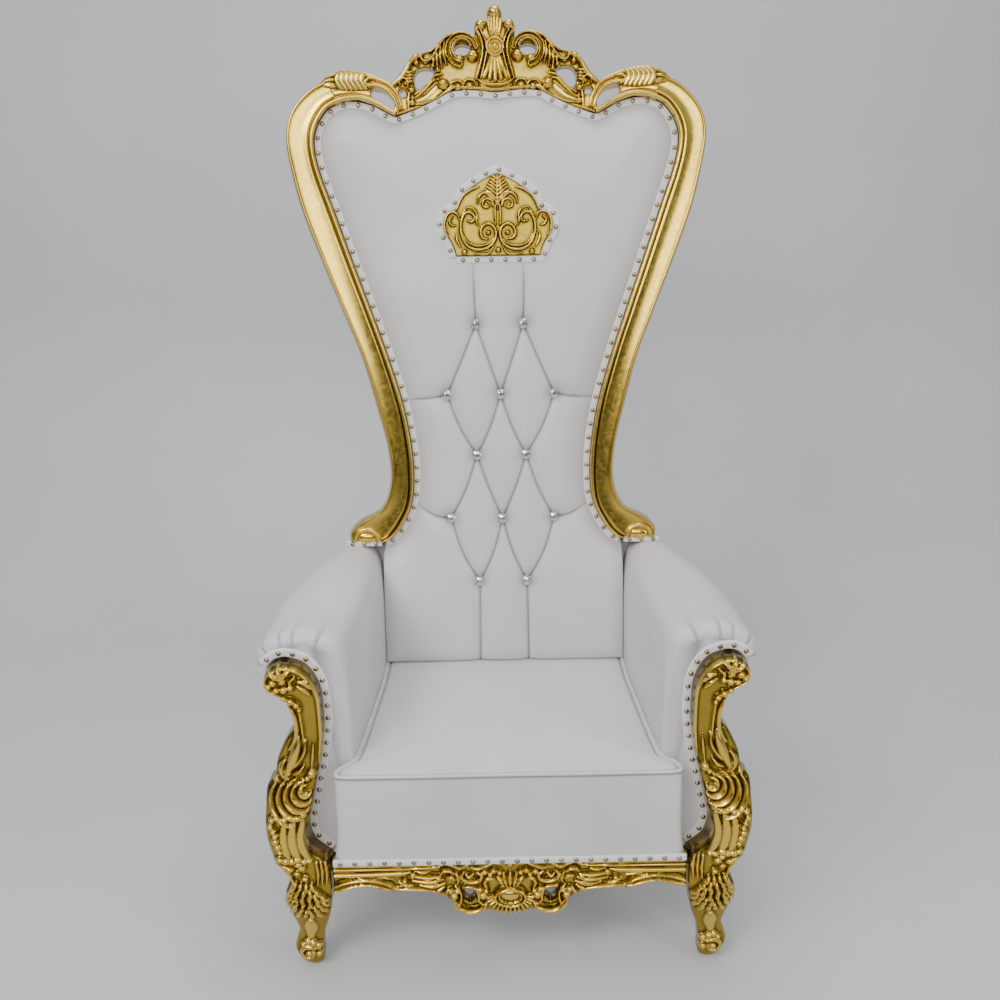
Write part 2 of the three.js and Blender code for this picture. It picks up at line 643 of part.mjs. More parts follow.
function apron() {
  const top = SEAT_RAIL_TOP_Z - GAP;
  const face = () => APRON_FACE_Y;
  const drawnHalf = APRON_LOWER[APRON_LOWER.length - 1][0];
  const outline = bothSides([[drawnHalf, top], ...APRON_LOWER.slice().reverse()]);
  const holes = [APRON_HOLE, mirrorPoints(APRON_HOLE)];
  const side = withMirror([
    ridge([[330, 238], [60, 238], [38, 232, 0.6]], 12, 9, face),
    ridge([[330, 206, 0.7], [292, 208], [258, 206], [222, 190, 0.6]], 16, 9, face),
    ridge([[322, 222, 0.5], [280, 224], [246, 220], [222, 206, 0.6]], 9, 7, face),
    ridge([[212, 186, 0.6], [180, 192], [140, 200], [104, 214, 0.6]], 14, 9, face),
    ridge([[100, 186, 0.5], [96, 148], [76, 133], [56, 144], [52, 160, 0.6]], 12, 10, face),
    ridge(volute(112, 184, 20, 8, 250, -220, 4), 10, 9, face),
    ridge([[56, 176, 0.6], [62, 196], [50, 210], [30, 204, 0.6]], 10, 9, face),
    leaf([16, 188], [44, 226], 0.1, 16, 10, face),
    boss(117, 219, 11, face),
  ]);
  const oval = new THREE.SphereGeometry(17, 8, 5);
  oval.scale(1.5, 0.7, 1);
  oval.translate(0, APRON_FACE_Y, 163);
  const rimSteps = 9;
  const rim = Array.from({ length: rimSteps + 1 }, (_, step) => {
    const angle = toRadians(-90 + step * 345 / rimSteps);
    return [30 * Math.cos(angle), 163 + 21 * Math.sin(angle)];
  });
  const middle = [
    oval, ridge(rim, 8, 11, face), leaf([0, 186], [0, 232], 0, 18, 12, face),
    ridge([[-44, 150, 0.4], [-22, 134], [0, 129], [22, 134], [44, 150, 0.4]], 11, 10, face),
  ];
  const board = plate(outline, holes, APRON_FACE_Y, APRON_FACE_Y + APRON_THICK);
  return joined([board, ...side, ...middle]).scale(APRON_HALF / drawnHalf, 1, 1);
}

function apronBraid() {
  const low = SEAT_RAIL_TOP_Z + 1;
  const front = SEAT_FRONT_Y - GAP - BRAID_THICK;
  const half = SEAT_EAR_HALF;
  const outline = [[-half, low], [half, low], [half, low + BRAID_WIDTH], [-half, low + BRAID_WIDTH]];
  return plate(outline, [], front, SEAT_FRONT_Y - GAP);
}

// Rear legs: square in section, curving back to the floor

function rearLeg() {
  const steps = 7;
  const height = BASE_BOTTOM_Z - GAP;
  const topY = BASE_REAR_Y - LEG_REAR_TOP;
  const rings = Array.from({ length: steps + 1 }, (_, step) => {
    const t = step / steps;
    const half = lerp(LEG_REAR_TOP, LEG_REAR_FOOT, t) / 2;
    const y = topY + LEG_REAR_RAKE * (0.35 * t + 0.65 * t * t);
    const x = LEG_REAR_X + 14 * t;
    const z = height * (1 - t);
    const cut = half * 0.35;
    return [
      [-half + cut, -half], [half - cut, -half], [half, -half + cut], [half, half - cut],
      [half - cut, half], [-half + cut, half], [-half, half - cut], [-half, -half + cut],
    ].map(([dx, dy]) => [x + dx, y + dy, z]);
  });
  return loft(rings);
}

// Assembly

function node(name, geometry, material) {
  const mesh = new THREE.Mesh(geometry, material);
  mesh.name = name;
  return mesh;
}

function makeBack() {
  const back = new THREE.Group();
  const pad = node('back_pad', backPad(), leather);
  pad.geometry.computeBoundingSphere();
  BUTTON_PLACES.forEach(([x, v], index) => {
    const number = String(index + 1).padStart(2, '0');
    back.add(node(`button_${number}`, button(x, v, pad), crystal));
  });
  back.position.set(0, BACK_PIVOT_Y, BACK_PIVOT_Z);
  back.rotation.x = -toRadians(BACK_LEAN);
  back.add(
    node('back_frame', backFrame(), gold), pad,
    node('back_panel', backPanel(), leather), node('trim_back', backBraid(), braid),
    node('plaque', plaque(), gold), node('trim_plaque', plaqueBraid(), braid),
  );
  return back;
}

function makeSeat() {
  const seat = new THREE.Group();
  const pairs = [
    ['arm', arm(), leather], ['post', post(), gold], ['trim', postBraid(), braid],
    ['rear_leg', rearLeg(), gold],
  ];
  for (const [name, geometry, material] of pairs) {
    seat.add(node(`${name}_right`, geometry, material), node(`${name}_left`, mirrored(geometry), material));
  }
  seat.add(
    node('seat_cushion', seatCushion(), leather), node('seat_base', seatBase(), leather),
    node('apron', apron(), gold), node('trim_apron', apronBraid(), braid),
  );
  return seat;
}

// The origin is on the floor under the middle of the whole chair.
function makeChair() {
  const chair = new THREE.Group();
  chair.add(makeBack(), makeSeat());
  chair.updateMatrixWorld(true);
  const box = new THREE.Box3().setFromObject(chair, true);
  chair.position.y = -(box.min.y + box.max.y) / 2;
  return chair;
}

export default makeChair();
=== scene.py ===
import math

import bmesh
import bpy
import numpy as np
from mathutils import Matrix, Vector


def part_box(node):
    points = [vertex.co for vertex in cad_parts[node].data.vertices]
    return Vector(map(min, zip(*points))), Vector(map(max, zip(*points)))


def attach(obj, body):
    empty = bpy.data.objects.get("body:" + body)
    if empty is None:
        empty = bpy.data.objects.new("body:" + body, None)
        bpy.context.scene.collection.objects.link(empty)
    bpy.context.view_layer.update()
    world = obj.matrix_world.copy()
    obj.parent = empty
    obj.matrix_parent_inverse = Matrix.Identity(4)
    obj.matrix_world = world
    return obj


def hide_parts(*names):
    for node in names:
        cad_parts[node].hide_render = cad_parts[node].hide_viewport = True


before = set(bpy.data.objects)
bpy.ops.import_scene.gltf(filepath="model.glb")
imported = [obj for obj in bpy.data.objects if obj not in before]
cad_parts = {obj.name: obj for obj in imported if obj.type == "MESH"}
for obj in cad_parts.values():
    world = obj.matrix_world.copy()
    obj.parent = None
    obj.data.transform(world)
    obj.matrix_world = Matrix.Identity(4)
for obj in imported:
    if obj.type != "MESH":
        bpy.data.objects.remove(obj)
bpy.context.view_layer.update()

# Sizes in millimetres, as the chair's drawing has them; pieces are made in metres.
MM = 0.001
LEAN = math.radians(8)
SEAT_FRONT_Y = -354
SHIFT_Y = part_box("seat_cushion")[0][1] / MM - SEAT_FRONT_Y
PIVOT_Y = 170 + SHIFT_Y
PIVOT_Z = 720
STILE_FACE = -16
STILE_BEAD = -26
STILE_REAR = 24
CREST_FACE = -6
PAD_EDGE = -4
PAD_CROWN = -38
PAD_HALF = 266
ARM_FRONT_Y = -300
SEAT_TOP_Z = 442
SEAT_RAIL_TOP_Z = 252
BASE_BOTTOM_Z = 196
BRAID_WIDTH = 14
BRAID_RISE = 4.5
NAIL_RISE = 4.6
BACK_PITCH = 30
POST_PITCH = 26
APRON_PITCH = 28
PANEL_FRONT = STILE_REAR + 0.3
PANEL_THICK = 16.5

# The stile from its foot over the shoulder: inner edge and outer edge, as x and height on the back.
STILE = [
    [262, -10, 343, -10], [243, 1, 341, 10], [222, 27, 318, 34], [201, 72, 270, 62],
    [194, 127, 249, 120], [197, 200, 253, 196], [212, 290, 272, 280], [240, 390, 300, 388],
    [272, 487, 335, 482], [306, 586, 372, 580], [344, 700, 412, 692], [369, 774, 433, 780],
    [379, 826, 441, 848], [373, 864, 427, 900], [350, 899, 388, 943], [318, 915, 340, 966],
    [288, 917, 292, 972], [252, 908, 240, 962], [224, 893, 208, 936], [207, 885, 191, 904],
]
CREST_LOWER = [[0, 931], [54, 936], [92, 933], [118, 921], [150, 906], [184, 893], [207, 885]]
CREST_UPPER = [
    [213, 897], [207, 918], [209, 934], [216, 944], [211, 953], [200, 965], [188, 980], [178, 991],
    [170, 1003], [162, 1007], [152, 1010], [140, 1010], [130, 1015], [118, 1027], [104, 1040], [88, 1047],
    [70, 1049], [54, 1045], [43, 1039], [41, 1048], [42, 1060], [36, 1070], [26, 1072], [18, 1066],
    [15, 1076], [15, 1087], [9, 1095], [0, 1097],
]
SCROLL_HOLE = [[50, 1013], [55, 1006], [64, 1004], [76, 1004], [84, 1010], [83, 1018], [76, 1024],
               [63, 1025], [53, 1021]]
SIDE_HOLE = [[123, 973], [133, 960], [142, 948], [152, 940], [163, 941], [167, 952], [166, 966], [160, 976],
             [147, 980], [133, 978]]
SMALL_HOLE = [[184, 926], [194, 924], [200, 932], [196, 939], [187, 938]]
# Post and leg: height, inner edge, outer edge, front face.
POST = [
    [0, 372, 402, -329], [14, 369, 415, -335], [42, 368, 422, -341], [63, 366, 418, -340],
    [85, 361, 412, -340], [108, 353, 416, -344], [132, 347, 422, -349], [180, 340, 428, -357],
    [218, 339, 415, -358], [238, 339, 423, -360], [254, 340, 438, -363], [281, 368, 443, -367],
    [318, 377, 448, -371], [350, 370, 449, -370], [386, 362, 446, -364], [420, 355, 442, -356],
    [438, 350, 427, -352], [473, 343, 420, -349], [513, 337, 401, -346], [533, 335, 387, -345],
    [572, 335, 391, -346], [594, 336, 404, -347], [614, 340, 428, -349], [636, 350, 431, -350],
    [652, 364, 422, -350], [661, 384, 407, -348],
]
APRON_HALF = 336
APRON_FACE_Y = -335
APRON_LOWER = [
    [0, 125], [24, 127], [44, 131], [60, 127], [76, 126], [92, 131], [103, 142], [116, 156],
    [130, 169], [146, 177], [160, 180], [192, 181], [220, 182], [245, 191], [276, 197], [305, 192],
    [APRON_HALF, 183],
]
PLAQUE_EDGE = [
    [0, 765], [12, 761], [26, 754], [48, 741], [66, 728], [75, 716], [82, 702], [88, 692], [98, 690],
    [108, 681], [113, 667], [112, 651], [105, 639], [97, 626], [91, 612], [88, 599],
]
BUTTONS = [
    [-50, 460], [50, 460], [-115, 311], [0, 311], [115, 311], [-53, 180], [53, 180], [-113, 41],
    [0, 40], [113, 41], [-52, -101], [52, -101],
]


# Curves and places

def smooth_curve(points, per_span=10):
    """A curve through the points: each span is the Catmull-Rom cubic of its two ends and their neighbours."""
    p = np.asarray(points, float)
    ends = np.vstack([2 * p[0] - p[1], p, 2 * p[-1] - p[-2]])
    place = np.linspace(0, len(p) - 1, (len(p) - 1) * per_span + 1)
    i = np.minimum(place.astype(int), len(p) - 2)
    t = (place - i)[:, None]
    a, b, c, d = ends[i], ends[i + 1], ends[i + 2], ends[i + 3]
    return 0.5 * (2 * b + (c - a) * t + (2 * a - 5 * b + 4 * c - d) * t**2
                  + (3 * b - a - 3 * c + d) * t**3)


def evenly(path, spacing):
    """The path resampled to equal steps near the spacing, by linear interpolation on its length."""
    path = np.asarray(path, float)
    length = np.concatenate([[0], np.cumsum(np.hypot(*np.diff(path[:, :2], axis=0).T))])
    places = np.linspace(0, length[-1], max(2, int(round(length[-1] / spacing)) + 1))
    return np.stack([np.interp(places, length, column) for column in path.T], axis=1)


def normals_of(path):
    """Unit normals to the left of a flat path, from the difference of each point's two neighbours."""
    step = np.gradient(path[:, :2], axis=0)
    step /= np.linalg.norm(step, axis=1)[:, None]
    return np.stack([-step[:, 1], step[:, 0]], axis=1)


def both_sides(half):
    """A closed outline from its right half: the half, then its mirror image in reverse."""
    half = np.asarray(half, float)
    mirrored = half[half[:, 0] > 1e-6][::-1] * [-1, 1]
    return np.vstack([half, mirrored])


def mirror(path):
    """The path on the chair's other side: x with its sign changed."""
    flipped = np.array(path, float)
    flipped[:, 0] *= -1
    return flipped


def on_back(x, depth, v):
    """World places in metres from the leaning plane of the back: x across, depth rearwards, v up along it."""
    y = PIVOT_Y + v * math.sin(LEAN) + depth * math.cos(LEAN)
    z = PIVOT_Z + v * math.cos(LEAN) - depth * math.sin(LEAN)
    return np.stack([x + 0 * y, y, z], axis=-1) * MM


def upright(x, y, z):
    """World places in metres from drawing places in millimetres."""
    x, y, z = np.broadcast_arrays(x, y, z)
    return np.stack([x, y + SHIFT_Y, z], axis=-1) * MM


# Meshes

def add_piece(name, points, faces, material, slot, replaces=(), values=None, uv=None):
    """A smooth-shaded mesh that rides on the chair, with named values for each vertex."""
    mesh = bpy.data.meshes.new(name)
    mesh.from_pydata(np.asarray(points).tolist(), [], [list(map(int, face)) for face in faces])
    mesh.polygons.foreach_set("use_smooth", np.ones(len(mesh.polygons), bool))
    for key, data in (values or {}).items():
        layer = mesh.attributes.new(key, "FLOAT", "POINT")
        layer.data.foreach_set("value", np.asarray(data, np.float32).ravel())
    if uv is not None:
        corners = np.empty(len(mesh.loops), int)
        mesh.loops.foreach_get("vertex_index", corners)
        mesh.uv_layers.new(name="cloth").data.foreach_set("uv", np.asarray(uv)[corners].ravel())
    mesh.materials.append(material)
    piece = bpy.data.objects.new(name, mesh)
    bpy.context.scene.collection.objects.link(piece)
    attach(piece, "root")
    if replaces:
        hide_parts(*replaces)
    return piece


def grid_faces(rows, columns, closed=False):
    """Quads of a grid of rows by columns, whose last column joins the first where it is closed."""
    across = np.arange(columns if closed else columns - 1)
    i, j = np.meshgrid(np.arange(rows - 1), across, indexing="ij")
    k = (j + 1) % columns
    return np.stack([i * columns + j, i * columns + k, (i + 1) * columns + k, (i + 1) * columns + j],
                    axis=-1).reshape(-1, 4)


def volume_sign(points, faces):
    """Sign of the enclosed volume: the sum of a . (b x c) over each face's fan of triangles."""
    total = 0.0
    for size in {len(face) for face in faces}:
        group = np.array([face for face in faces if len(face) == size])
        for k in range(1, size - 1):
            a, b, c = points[group[:, 0]], points[group[:, k]], points[group[:, k + 1]]
            total += np.einsum("ij,ij->", a, np.cross(b, c))
    return 1 if total >= 0 else -1


def loft(rings, caps=True):
    """Points and faces of a closed body through rings (stations, places around, 3), with flat ends."""
    stations, around = rings.shape[:2]
    points = rings.reshape(-1, 3)
    faces = [tuple(face) for face in grid_faces(stations, around, closed=True)]
    if caps:
        faces.append(tuple(range(around))[::-1])
        faces.append(tuple(range((stations - 1) * around, stations * around)))
    if volume_sign(points, faces) < 0:
        faces = [face[::-1] for face in faces]
    return points, faces


def joined(parts):
    """Several point and face lists as one, with the later faces counted on from the earlier points."""
    points, faces, start = [], [], 0
    for part_points, part_faces in parts:
        points.append(part_points)
        faces.extend(tuple(index + start for index in face) for face in part_faces)
        start += len(part_points)
    return np.vstack(points), faces


def mirrored_part(part):
    """The mirror image of points and faces: x with its sign changed and each face turned round."""
    points, faces = part
    return points * [-1, 1, 1], [face[::-1] for face in faces]


# Carving: a height worked out on a grid over the wood's face

def measure(x, z, path):
    """Each place's distance to a path, the side it is on, its share along the path, and the nearest point."""
    best = np.full(x.shape, 1e9)
    side, along = np.zeros(x.shape), np.zeros(x.shape)
    near_x, near_z = np.zeros(x.shape), np.zeros(x.shape)
    spans = len(path) - 1
    for k in range(spans):
        (ax, az), (bx, bz) = path[k, :2], path[k + 1, :2]
        dx, dz = bx - ax, bz - az
        t = np.clip(((x - ax) * dx + (z - az) * dz) / max(dx * dx + dz * dz, 1e-9), 0, 1)
        px, pz = ax + t * dx, az + t * dz
        distance = np.hypot(x - px, z - pz)
        closer = distance < best
        best = np.where(closer, distance, best)
        side = np.where(closer, np.sign(dx * (z - az) - dz * (x - ax)), side)
        along = np.where(closer, (k + t) / spans, along)
        near_x, near_z = np.where(closer, px, near_x), np.where(closer, pz, near_z)
    return best, side, along, near_x, near_z


def inside(x, z, loop):
    """Whether a place is inside a loop: a ray to the right crosses the loop an odd number of times."""
    odd = np.zeros(x.shape, bool)
    for (ax, az), (bx, bz) in zip(loop, np.roll(loop, -1, axis=0)):
        if az != bz:
            crosses = (az > z) != (bz > z)
            odd ^= crosses & (x < (bx - ax) * (z - az) / (bz - az) + ax)
    return odd


def blurred(field, reach):
    """The mean over a square of the given reach, by running sums along both axes."""
    for axis in (0, 1):
        pad = [(reach + 1, reach) if k == axis else (0, 0) for k in (0, 1)]
        total = np.cumsum(np.pad(field, pad, mode="edge"), axis=axis)
        count = field.shape[axis]
        field = (np.take(total, np.arange(count) + 2 * reach + 1, axis)
                 - np.take(total, np.arange(count), axis)) / (2 * reach + 1)
    return field


def rounded(u, s):
    """A half-round strand: the square root of 1 - u^2."""
    return np.sqrt(np.clip(1 - u * u, 0, 1))


def scroll(u, s):
    """A scroll band: a half-round rim on each edge and a deep hollow between them."""
    a = np.abs(u)
    rim = np.sqrt(np.clip(1 - ((a - 0.74) / 0.26)**2, 0, 1))
    return np.where(a < 0.74, np.maximum(rim, 0.15 + 0.3 * a * a), rim)


def leafy(u, s):
    """A leaf: a rounded body with a vein down its middle and a flute on each side of it."""
    return np.sqrt(np.clip(1 - np.abs(u)**2.4, 0, 1)) * (0.78 + 0.22 * np.cos(4 * np.pi * u))


def lapped(u, s):
    """A lapping scale: it rises slowly to a crest near its left edge and drops steeply there."""
    steep = np.sqrt(np.clip(1 - ((u - 0.5) / 0.5)**2, 0, 1))
    return np.where(u < 0.5, np.clip((u + 1) / 1.5, 0, 1)**0.8, steep)


def flat_topped(u, s):
    """A raised field: level, with rounded borders."""
    return np.clip(1 - np.abs(u)**8, 0, 1)


class Relief:
    """A carved face: heights over a grid inside an outline, carved one stroke at a time, highest wins."""

    def __init__(self, outline, holes, step):
        self.loops = [np.asarray(loop, float) for loop in [outline, *holes]]
        low, high = self.loops[0].min(0) - 2 * step, self.loops[0].max(0) + 2 * step
        self.step = step
        self.xs = np.arange(low[0], high[0] + step, step)
        self.zs = np.arange(low[1], high[1] + step, step)
        self.x, self.z = np.meshgrid(self.xs, self.zs)
        self.height = np.zeros(self.x.shape)
        parts = [measure(self.x, self.z, np.vstack([loop, loop[:1]])) for loop in self.loops]
        gaps = np.stack([part[0] for part in parts])
        nearest = gaps.argmin(0)[None]
        within = inside(self.x, self.z, self.loops[0])
        for loop in self.loops[1:]:
            within &= ~inside(self.x, self.z, loop)
        self.edge = np.where(within, 1, -1) * gaps.min(0)
        self.near_x = np.take_along_axis(np.stack([part[3] for part in parts]), nearest, 0)[0]
        self.near_z = np.take_along_axis(np.stack([part[4] for part in parts]), nearest, 0)[0]

    def window(self, low, high):
        """The part of the grid inside a box."""
        columns = slice(*np.searchsorted(self.xs, [low[0], high[0]]))
        rows = slice(*np.searchsorted(self.zs, [low[1], high[1]]))
        return rows, columns

    def stroke(self, path, width, height, shape=rounded, level=0.0, ends=(0.5, 0.5), dent=False):
        """Raises a ridge along a path: height x shape(offset / half width), narrower towards its ends."""
        path = np.asarray(path, float)
        if path.shape[1] == 2:
            share = np.ones(len(path))
            share[0], share[-1] = ends
            path = np.column_stack([path, share])
        line = smooth_curve(path, 8)
        line[:, 2] = np.clip(line[:, 2], 0.05, 1.3)
        area = self.window(line[:, :2].min(0) - width, line[:, :2].max(0) + width)
        gap, side, along, _, _ = measure(self.x[area], self.z[area], line)
        share = np.interp(along, np.linspace(0, 1, len(line)), line[:, 2])
        offset = gap / (0.5 * width * share) * np.where(side == 0, 1, side)
        rise = height * np.sqrt(np.clip(share, 0, 1)) * shape(offset, along)
        here = np.abs(offset) < 1
        old = self.height[area]
        new = old - rise if dent else np.maximum(old, level + rise)
        self.height[area] = np.where(here, new, old)

    def twice(self, path, width, height, **words):
        """The same stroke on both sides of the middle."""
        self.stroke(path, width, height, **words)
        self.stroke(mirror(path), width, height, **words)

    def boss(self, x, z, radius, height, level=0.0, twice=False, stretch=1.0):
        """Raises a ball: height x the square root of 1 - (distance / radius)^2."""
        for centre in ([x, -x] if twice else [x]):
            reach = radius * max(stretch, 1)
            area = self.window([centre - reach, z - reach], [centre + reach, z + reach])
            gap = np.hypot((self.x[area] - centre) / stretch, self.z[area] - z) / radius
            rise = level + height * np.sqrt(np.clip(1 - gap * gap, 0, 1))
            self.height[area] = np.where(gap < 1, np.maximum(self.height[area], rise), self.height[area])

    def ring(self, x, z, radius, width, height, level=0.0, stretch=1.0):
        """Raises a round moulding: a half-round strand at a radius about a centre."""
        reach = (radius + width) * max(stretch, 1)
        area = self.window([x - reach, z - reach], [x + reach, z + reach])
        gap = np.abs(np.hypot((self.x[area] - x) / stretch, self.z[area] - z) - radius) / (0.5 * width)
        rise = level + height * np.sqrt(np.clip(1 - gap * gap, 0, 1))
        self.height[area] = np.where(gap < 1, np.maximum(self.height[area], rise), self.height[area])

    def solid(self, place, rear, round_edge, mark=None, ground=0.0):
        """The carved body: the heights as its face, rounded off at the outline, walls and a flat rear.
        Its third value is the mark at each point, or else a painted shade: how deep in the carving the point
        lies, more on the low ground by the ground share, and 0.3 on the walls."""
        kept = self.edge > 0
        corner = kept[:-1, :-1] | kept[1:, :-1] | kept[:-1, 1:] | kept[1:, 1:]
        rows, columns = self.x.shape
        quads = grid_faces(rows, columns).reshape(rows - 1, columns - 1, 4)[corner]
        used = np.unique(quads)
        renumber = np.full(rows * columns, -1)
        renumber[used] = np.arange(len(used))
        quads = renumber[quads]
        edge = self.edge.ravel()[used]
        outside = edge <= 0
        x = np.where(outside, self.near_x.ravel()[used], self.x.ravel()[used])
        z = np.where(outside, self.near_z.ravel()[used], self.z.ravel()[used])
        inward = np.clip(edge, 0, round_edge)
        drop = round_edge - np.sqrt(np.clip(round_edge**2 - (round_edge - inward)**2, 0, None))
        height = self.height.ravel()[used]
        # Painted shade: darker where the carving lies below its blurred surroundings, and on its low ground
        # by the ground share.
        hollow = blurred(self.height, max(2, int(6 / self.step))) - self.height
        hollow = (hollow / 5 + ground * np.clip(1 - self.height / 3, 0, 1)).ravel()[used]
        front = place(x, z, np.where(outside, 0, height) - drop)
        pairs = np.concatenate([quads[:, [k, (k + 1) % 4]] for k in range(4)])
        ordered = np.sort(pairs, axis=1)
        _, index, count = np.unique(ordered, axis=0, return_index=True, return_counts=True)
        border = pairs[index[count == 1]]
        rim = np.unique(border)
        behind = np.full(len(used), -1)
        behind[rim] = len(used) + np.arange(len(rim))
        walls = np.stack([border[:, 1], border[:, 0], behind[border[:, 0]], behind[border[:, 1]]], axis=1)
        points = np.vstack([front, rear(x[rim], z[rim])])
        if mark is None:
            # The walls get a fixed painted shade of 0.3.
            values = np.concatenate([np.clip(hollow, 0, 1), np.full(len(rim), 0.3)])
        else:
            values = np.concatenate([mark.ravel()[used], np.zeros(len(rim))])
        return points, np.vstack([quads, walls]), values


def close_rear(piece):
    """Fills the open rear of a carved body with triangles and turns all faces outwards."""
    shape = bmesh.new()
    shape.from_mesh(piece.data)
    bmesh.ops.remove_doubles(shape, verts=shape.verts, dist=2e-6)
    bmesh.ops.dissolve_degenerate(shape, edges=shape.edges, dist=1e-6)
    border = [edge for edge in shape.edges if edge.is_boundary]
    bmesh.ops.triangle_fill(shape, use_beauty=True, use_dissolve=False, edges=border)
    bmesh.ops.recalc_face_normals(shape, faces=shape.faces)
    for face in shape.faces:
        face.smooth = True
    shape.to_mesh(piece.data)
    shape.free()
    return piece


# Materials

def new_material(name):
    """A material with its nodes, its links and its shader."""
    material = bpy.data.materials.new(name)
    material.use_nodes = True
    nodes = material.node_tree.nodes
    return material, nodes, material.node_tree.links, nodes["Principled BSDF"]


def noise(nodes, links, scale, detail=4.0, roughness=0.55):
    """Noise on the piece's own coordinates in metres."""
    place = nodes.new("ShaderNodeTexCoord")
    texture = nodes.new("ShaderNodeTexNoise")
    texture.inputs["Scale"].default_value = scale
    texture.inputs["Detail"].default_value = detail
    texture.inputs["Roughness"].default_value = roughness
    links.new(place.outputs["Object"], texture.inputs["Vector"])
    return texture


def ramp(nodes, links, source, stops):
    """A colour ramp with stops of position and grey or colour."""
    node = nodes.new("ShaderNodeValToRGB")
    elements = node.color_ramp.elements
    while len(elements) < len(stops):
        elements.new(0.5)
    for element, (position, colour) in zip(elements, stops):
        element.position = position
        element.color = (*colour, 1) if isinstance(colour, tuple) else (colour, colour, colour, 1)
    links.new(source, node.inputs["Fac"])
    return node


def bump(nodes, links, source, strength, distance, under=None):
    """A bump from a height, on top of another bump where there is one."""
    node = nodes.new("ShaderNodeBump")
    node.inputs["Strength"].default_value = strength
    node.inputs["Distance"].default_value = distance
    links.new(source, node.inputs["Height"])
    if under is not None:
        links.new(under.outputs["Normal"], node.inputs["Normal"])
    return node


def gold_leaf():
    """Gold leaf over carved wood: bright on the raised carving, darkened to olive brown by painted shade in
    the hollows, on the low ground, on the walls and in the stile's grooves, with a faint random mottle and
    faint lap marks.
    """
    material, nodes, links, shader = new_material("gold_leaf")
    shader.inputs["Metallic"].default_value = 1.0
    cloud = noise(nodes, links, 14, 3)
    # The hollow value is painted shade: it darkens the gold in recesses, on low ground, on the carving's
    # walls and in the stile's grooves.
    hollow = nodes.new("ShaderNodeAttribute")
    hollow.attribute_name = "hollow"
    depth = nodes.new("ShaderNodeMath")
    depth.operation = "MULTIPLY_ADD"
    links.new(cloud.outputs["Fac"], depth.inputs[0])
    depth.inputs[1].default_value = 0.16
    links.new(hollow.outputs["Fac"], depth.inputs[2])
    colour = ramp(nodes, links, depth.outputs[0], [
        (0.0, (0.82, 0.58, 0.135)), (0.16, (0.66, 0.46, 0.085)), (0.4, (0.40, 0.27, 0.04)),
        (0.85, (0.14, 0.10, 0.012)),
    ])
    links.new(colour.outputs["Color"], shader.inputs["Base Color"])
    fine = noise(nodes, links, 120, 4, 0.55)
    rough = ramp(nodes, links, fine.outputs["Fac"], [(0.3, 0.15), (0.75, 0.27)])
    links.new(rough.outputs["Color"], shader.inputs["Roughness"])
    slow = noise(nodes, links, 45, 2)
    first = bump(nodes, links, slow.outputs["Fac"], 0.16, 0.0010)
    second = bump(nodes, links, fine.outputs["Fac"], 0.06, 0.0004, first)
    links.new(second.outputs["Normal"], shader.inputs["Normal"])
    return material


def white_leather():
    """Imitation leather: near white with a faint warm and cool drift, a fine pebbled grain, and painted shade
    in its creases and dimples.
    """
    material, nodes, links, shader = new_material("white_leather")
    drift = noise(nodes, links, 5, 2)
    colour = ramp(nodes, links, drift.outputs["Fac"], [
        (0.3, (0.60, 0.585, 0.595)), (0.7, (0.66, 0.65, 0.67)),
    ])
    # The crease value is painted shade: it darkens the leather along the tufting creases, in the button
    # dimples, near the frame, in the arm pleats and beside the seat piping.
    crease = nodes.new("ShaderNodeAttribute")
    crease.attribute_name = "crease"
    shade = ramp(nodes, links, crease.outputs["Fac"], [(0.0, 1.0), (1.0, (0.34, 0.33, 0.36))])
    tint = nodes.new("ShaderNodeMix")
    tint.data_type = "RGBA"
    tint.blend_type = "MULTIPLY"
    tint.inputs["Factor"].default_value = 1.0
    links.new(colour.outputs["Color"], tint.inputs["A"])
    links.new(shade.outputs["Color"], tint.inputs["B"])
    links.new(tint.outputs["Result"], shader.inputs["Base Color"])
    place = nodes.new("ShaderNodeTexCoord")
    pebble = nodes.new("ShaderNodeTexVoronoi")
    pebble.feature = "F1"
    pebble.inputs["Scale"].default_value = 900
    links.new(place.outputs["Object"], pebble.inputs["Vector"])
    fine = noise(nodes, links, 420, 4)
    rough = ramp(nodes, links, fine.outputs["Fac"], [(0.3, 0.42), (0.7, 0.56)])
    links.new(rough.outputs["Color"], shader.inputs["Roughness"])
    slow = noise(nodes, links, 26, 3)
    soft = bump(nodes, links, slow.outputs["Fac"], 0.10, 0.004)
    grain = bump(nodes, links, pebble.outputs["Distance"], 0.22, 0.0003, soft)
    second = bump(nodes, links, fine.outputs["Fac"], 0.12, 0.0004, grain)
    links.new(second.outputs["Normal"], shader.inputs["Normal"])
    shader.inputs["Coat Weight"].default_value = 0.12
    shader.inputs["Coat Roughness"].default_value = 0.35
    return material


def white_braid():
    """A flat woven braid: slanted threads along its length, from two waves on its own map."""
    material, nodes, links, shader = new_material("white_braid")
    shader.inputs["Roughness"].default_value = 0.75
    place = nodes.new("ShaderNodeTexCoord")
    waves = []
    for turn in (0.6, -0.6):
        mapping = nodes.new("ShaderNodeMapping")
        mapping.inputs["Rotation"].default_value = (0, 0, turn)
        wave = nodes.new("ShaderNodeTexWave")
        wave.inputs["Scale"].default_value = 260
        links.new(place.outputs["UV"], mapping.inputs["Vector"])
        links.new(mapping.outputs["Vector"], wave.inputs["Vector"])
        waves.append(wave)
    weave = nodes.new("ShaderNodeMath")
    weave.operation = "MULTIPLY"
    links.new(waves[0].outputs["Fac"], weave.inputs[0])
    links.new(waves[1].outputs["Fac"], weave.inputs[1])
    colour = ramp(nodes, links, weave.outputs[0], [(0.0, (0.74, 0.735, 0.75)), (0.6, (0.93, 0.925, 0.94))])
    links.new(colour.outputs["Color"], shader.inputs["Base Color"])
    first = bump(nodes, links, weave.outputs[0], 0.5, 0.0005)
    links.new(first.outputs["Normal"], shader.inputs["Normal"])
    return material


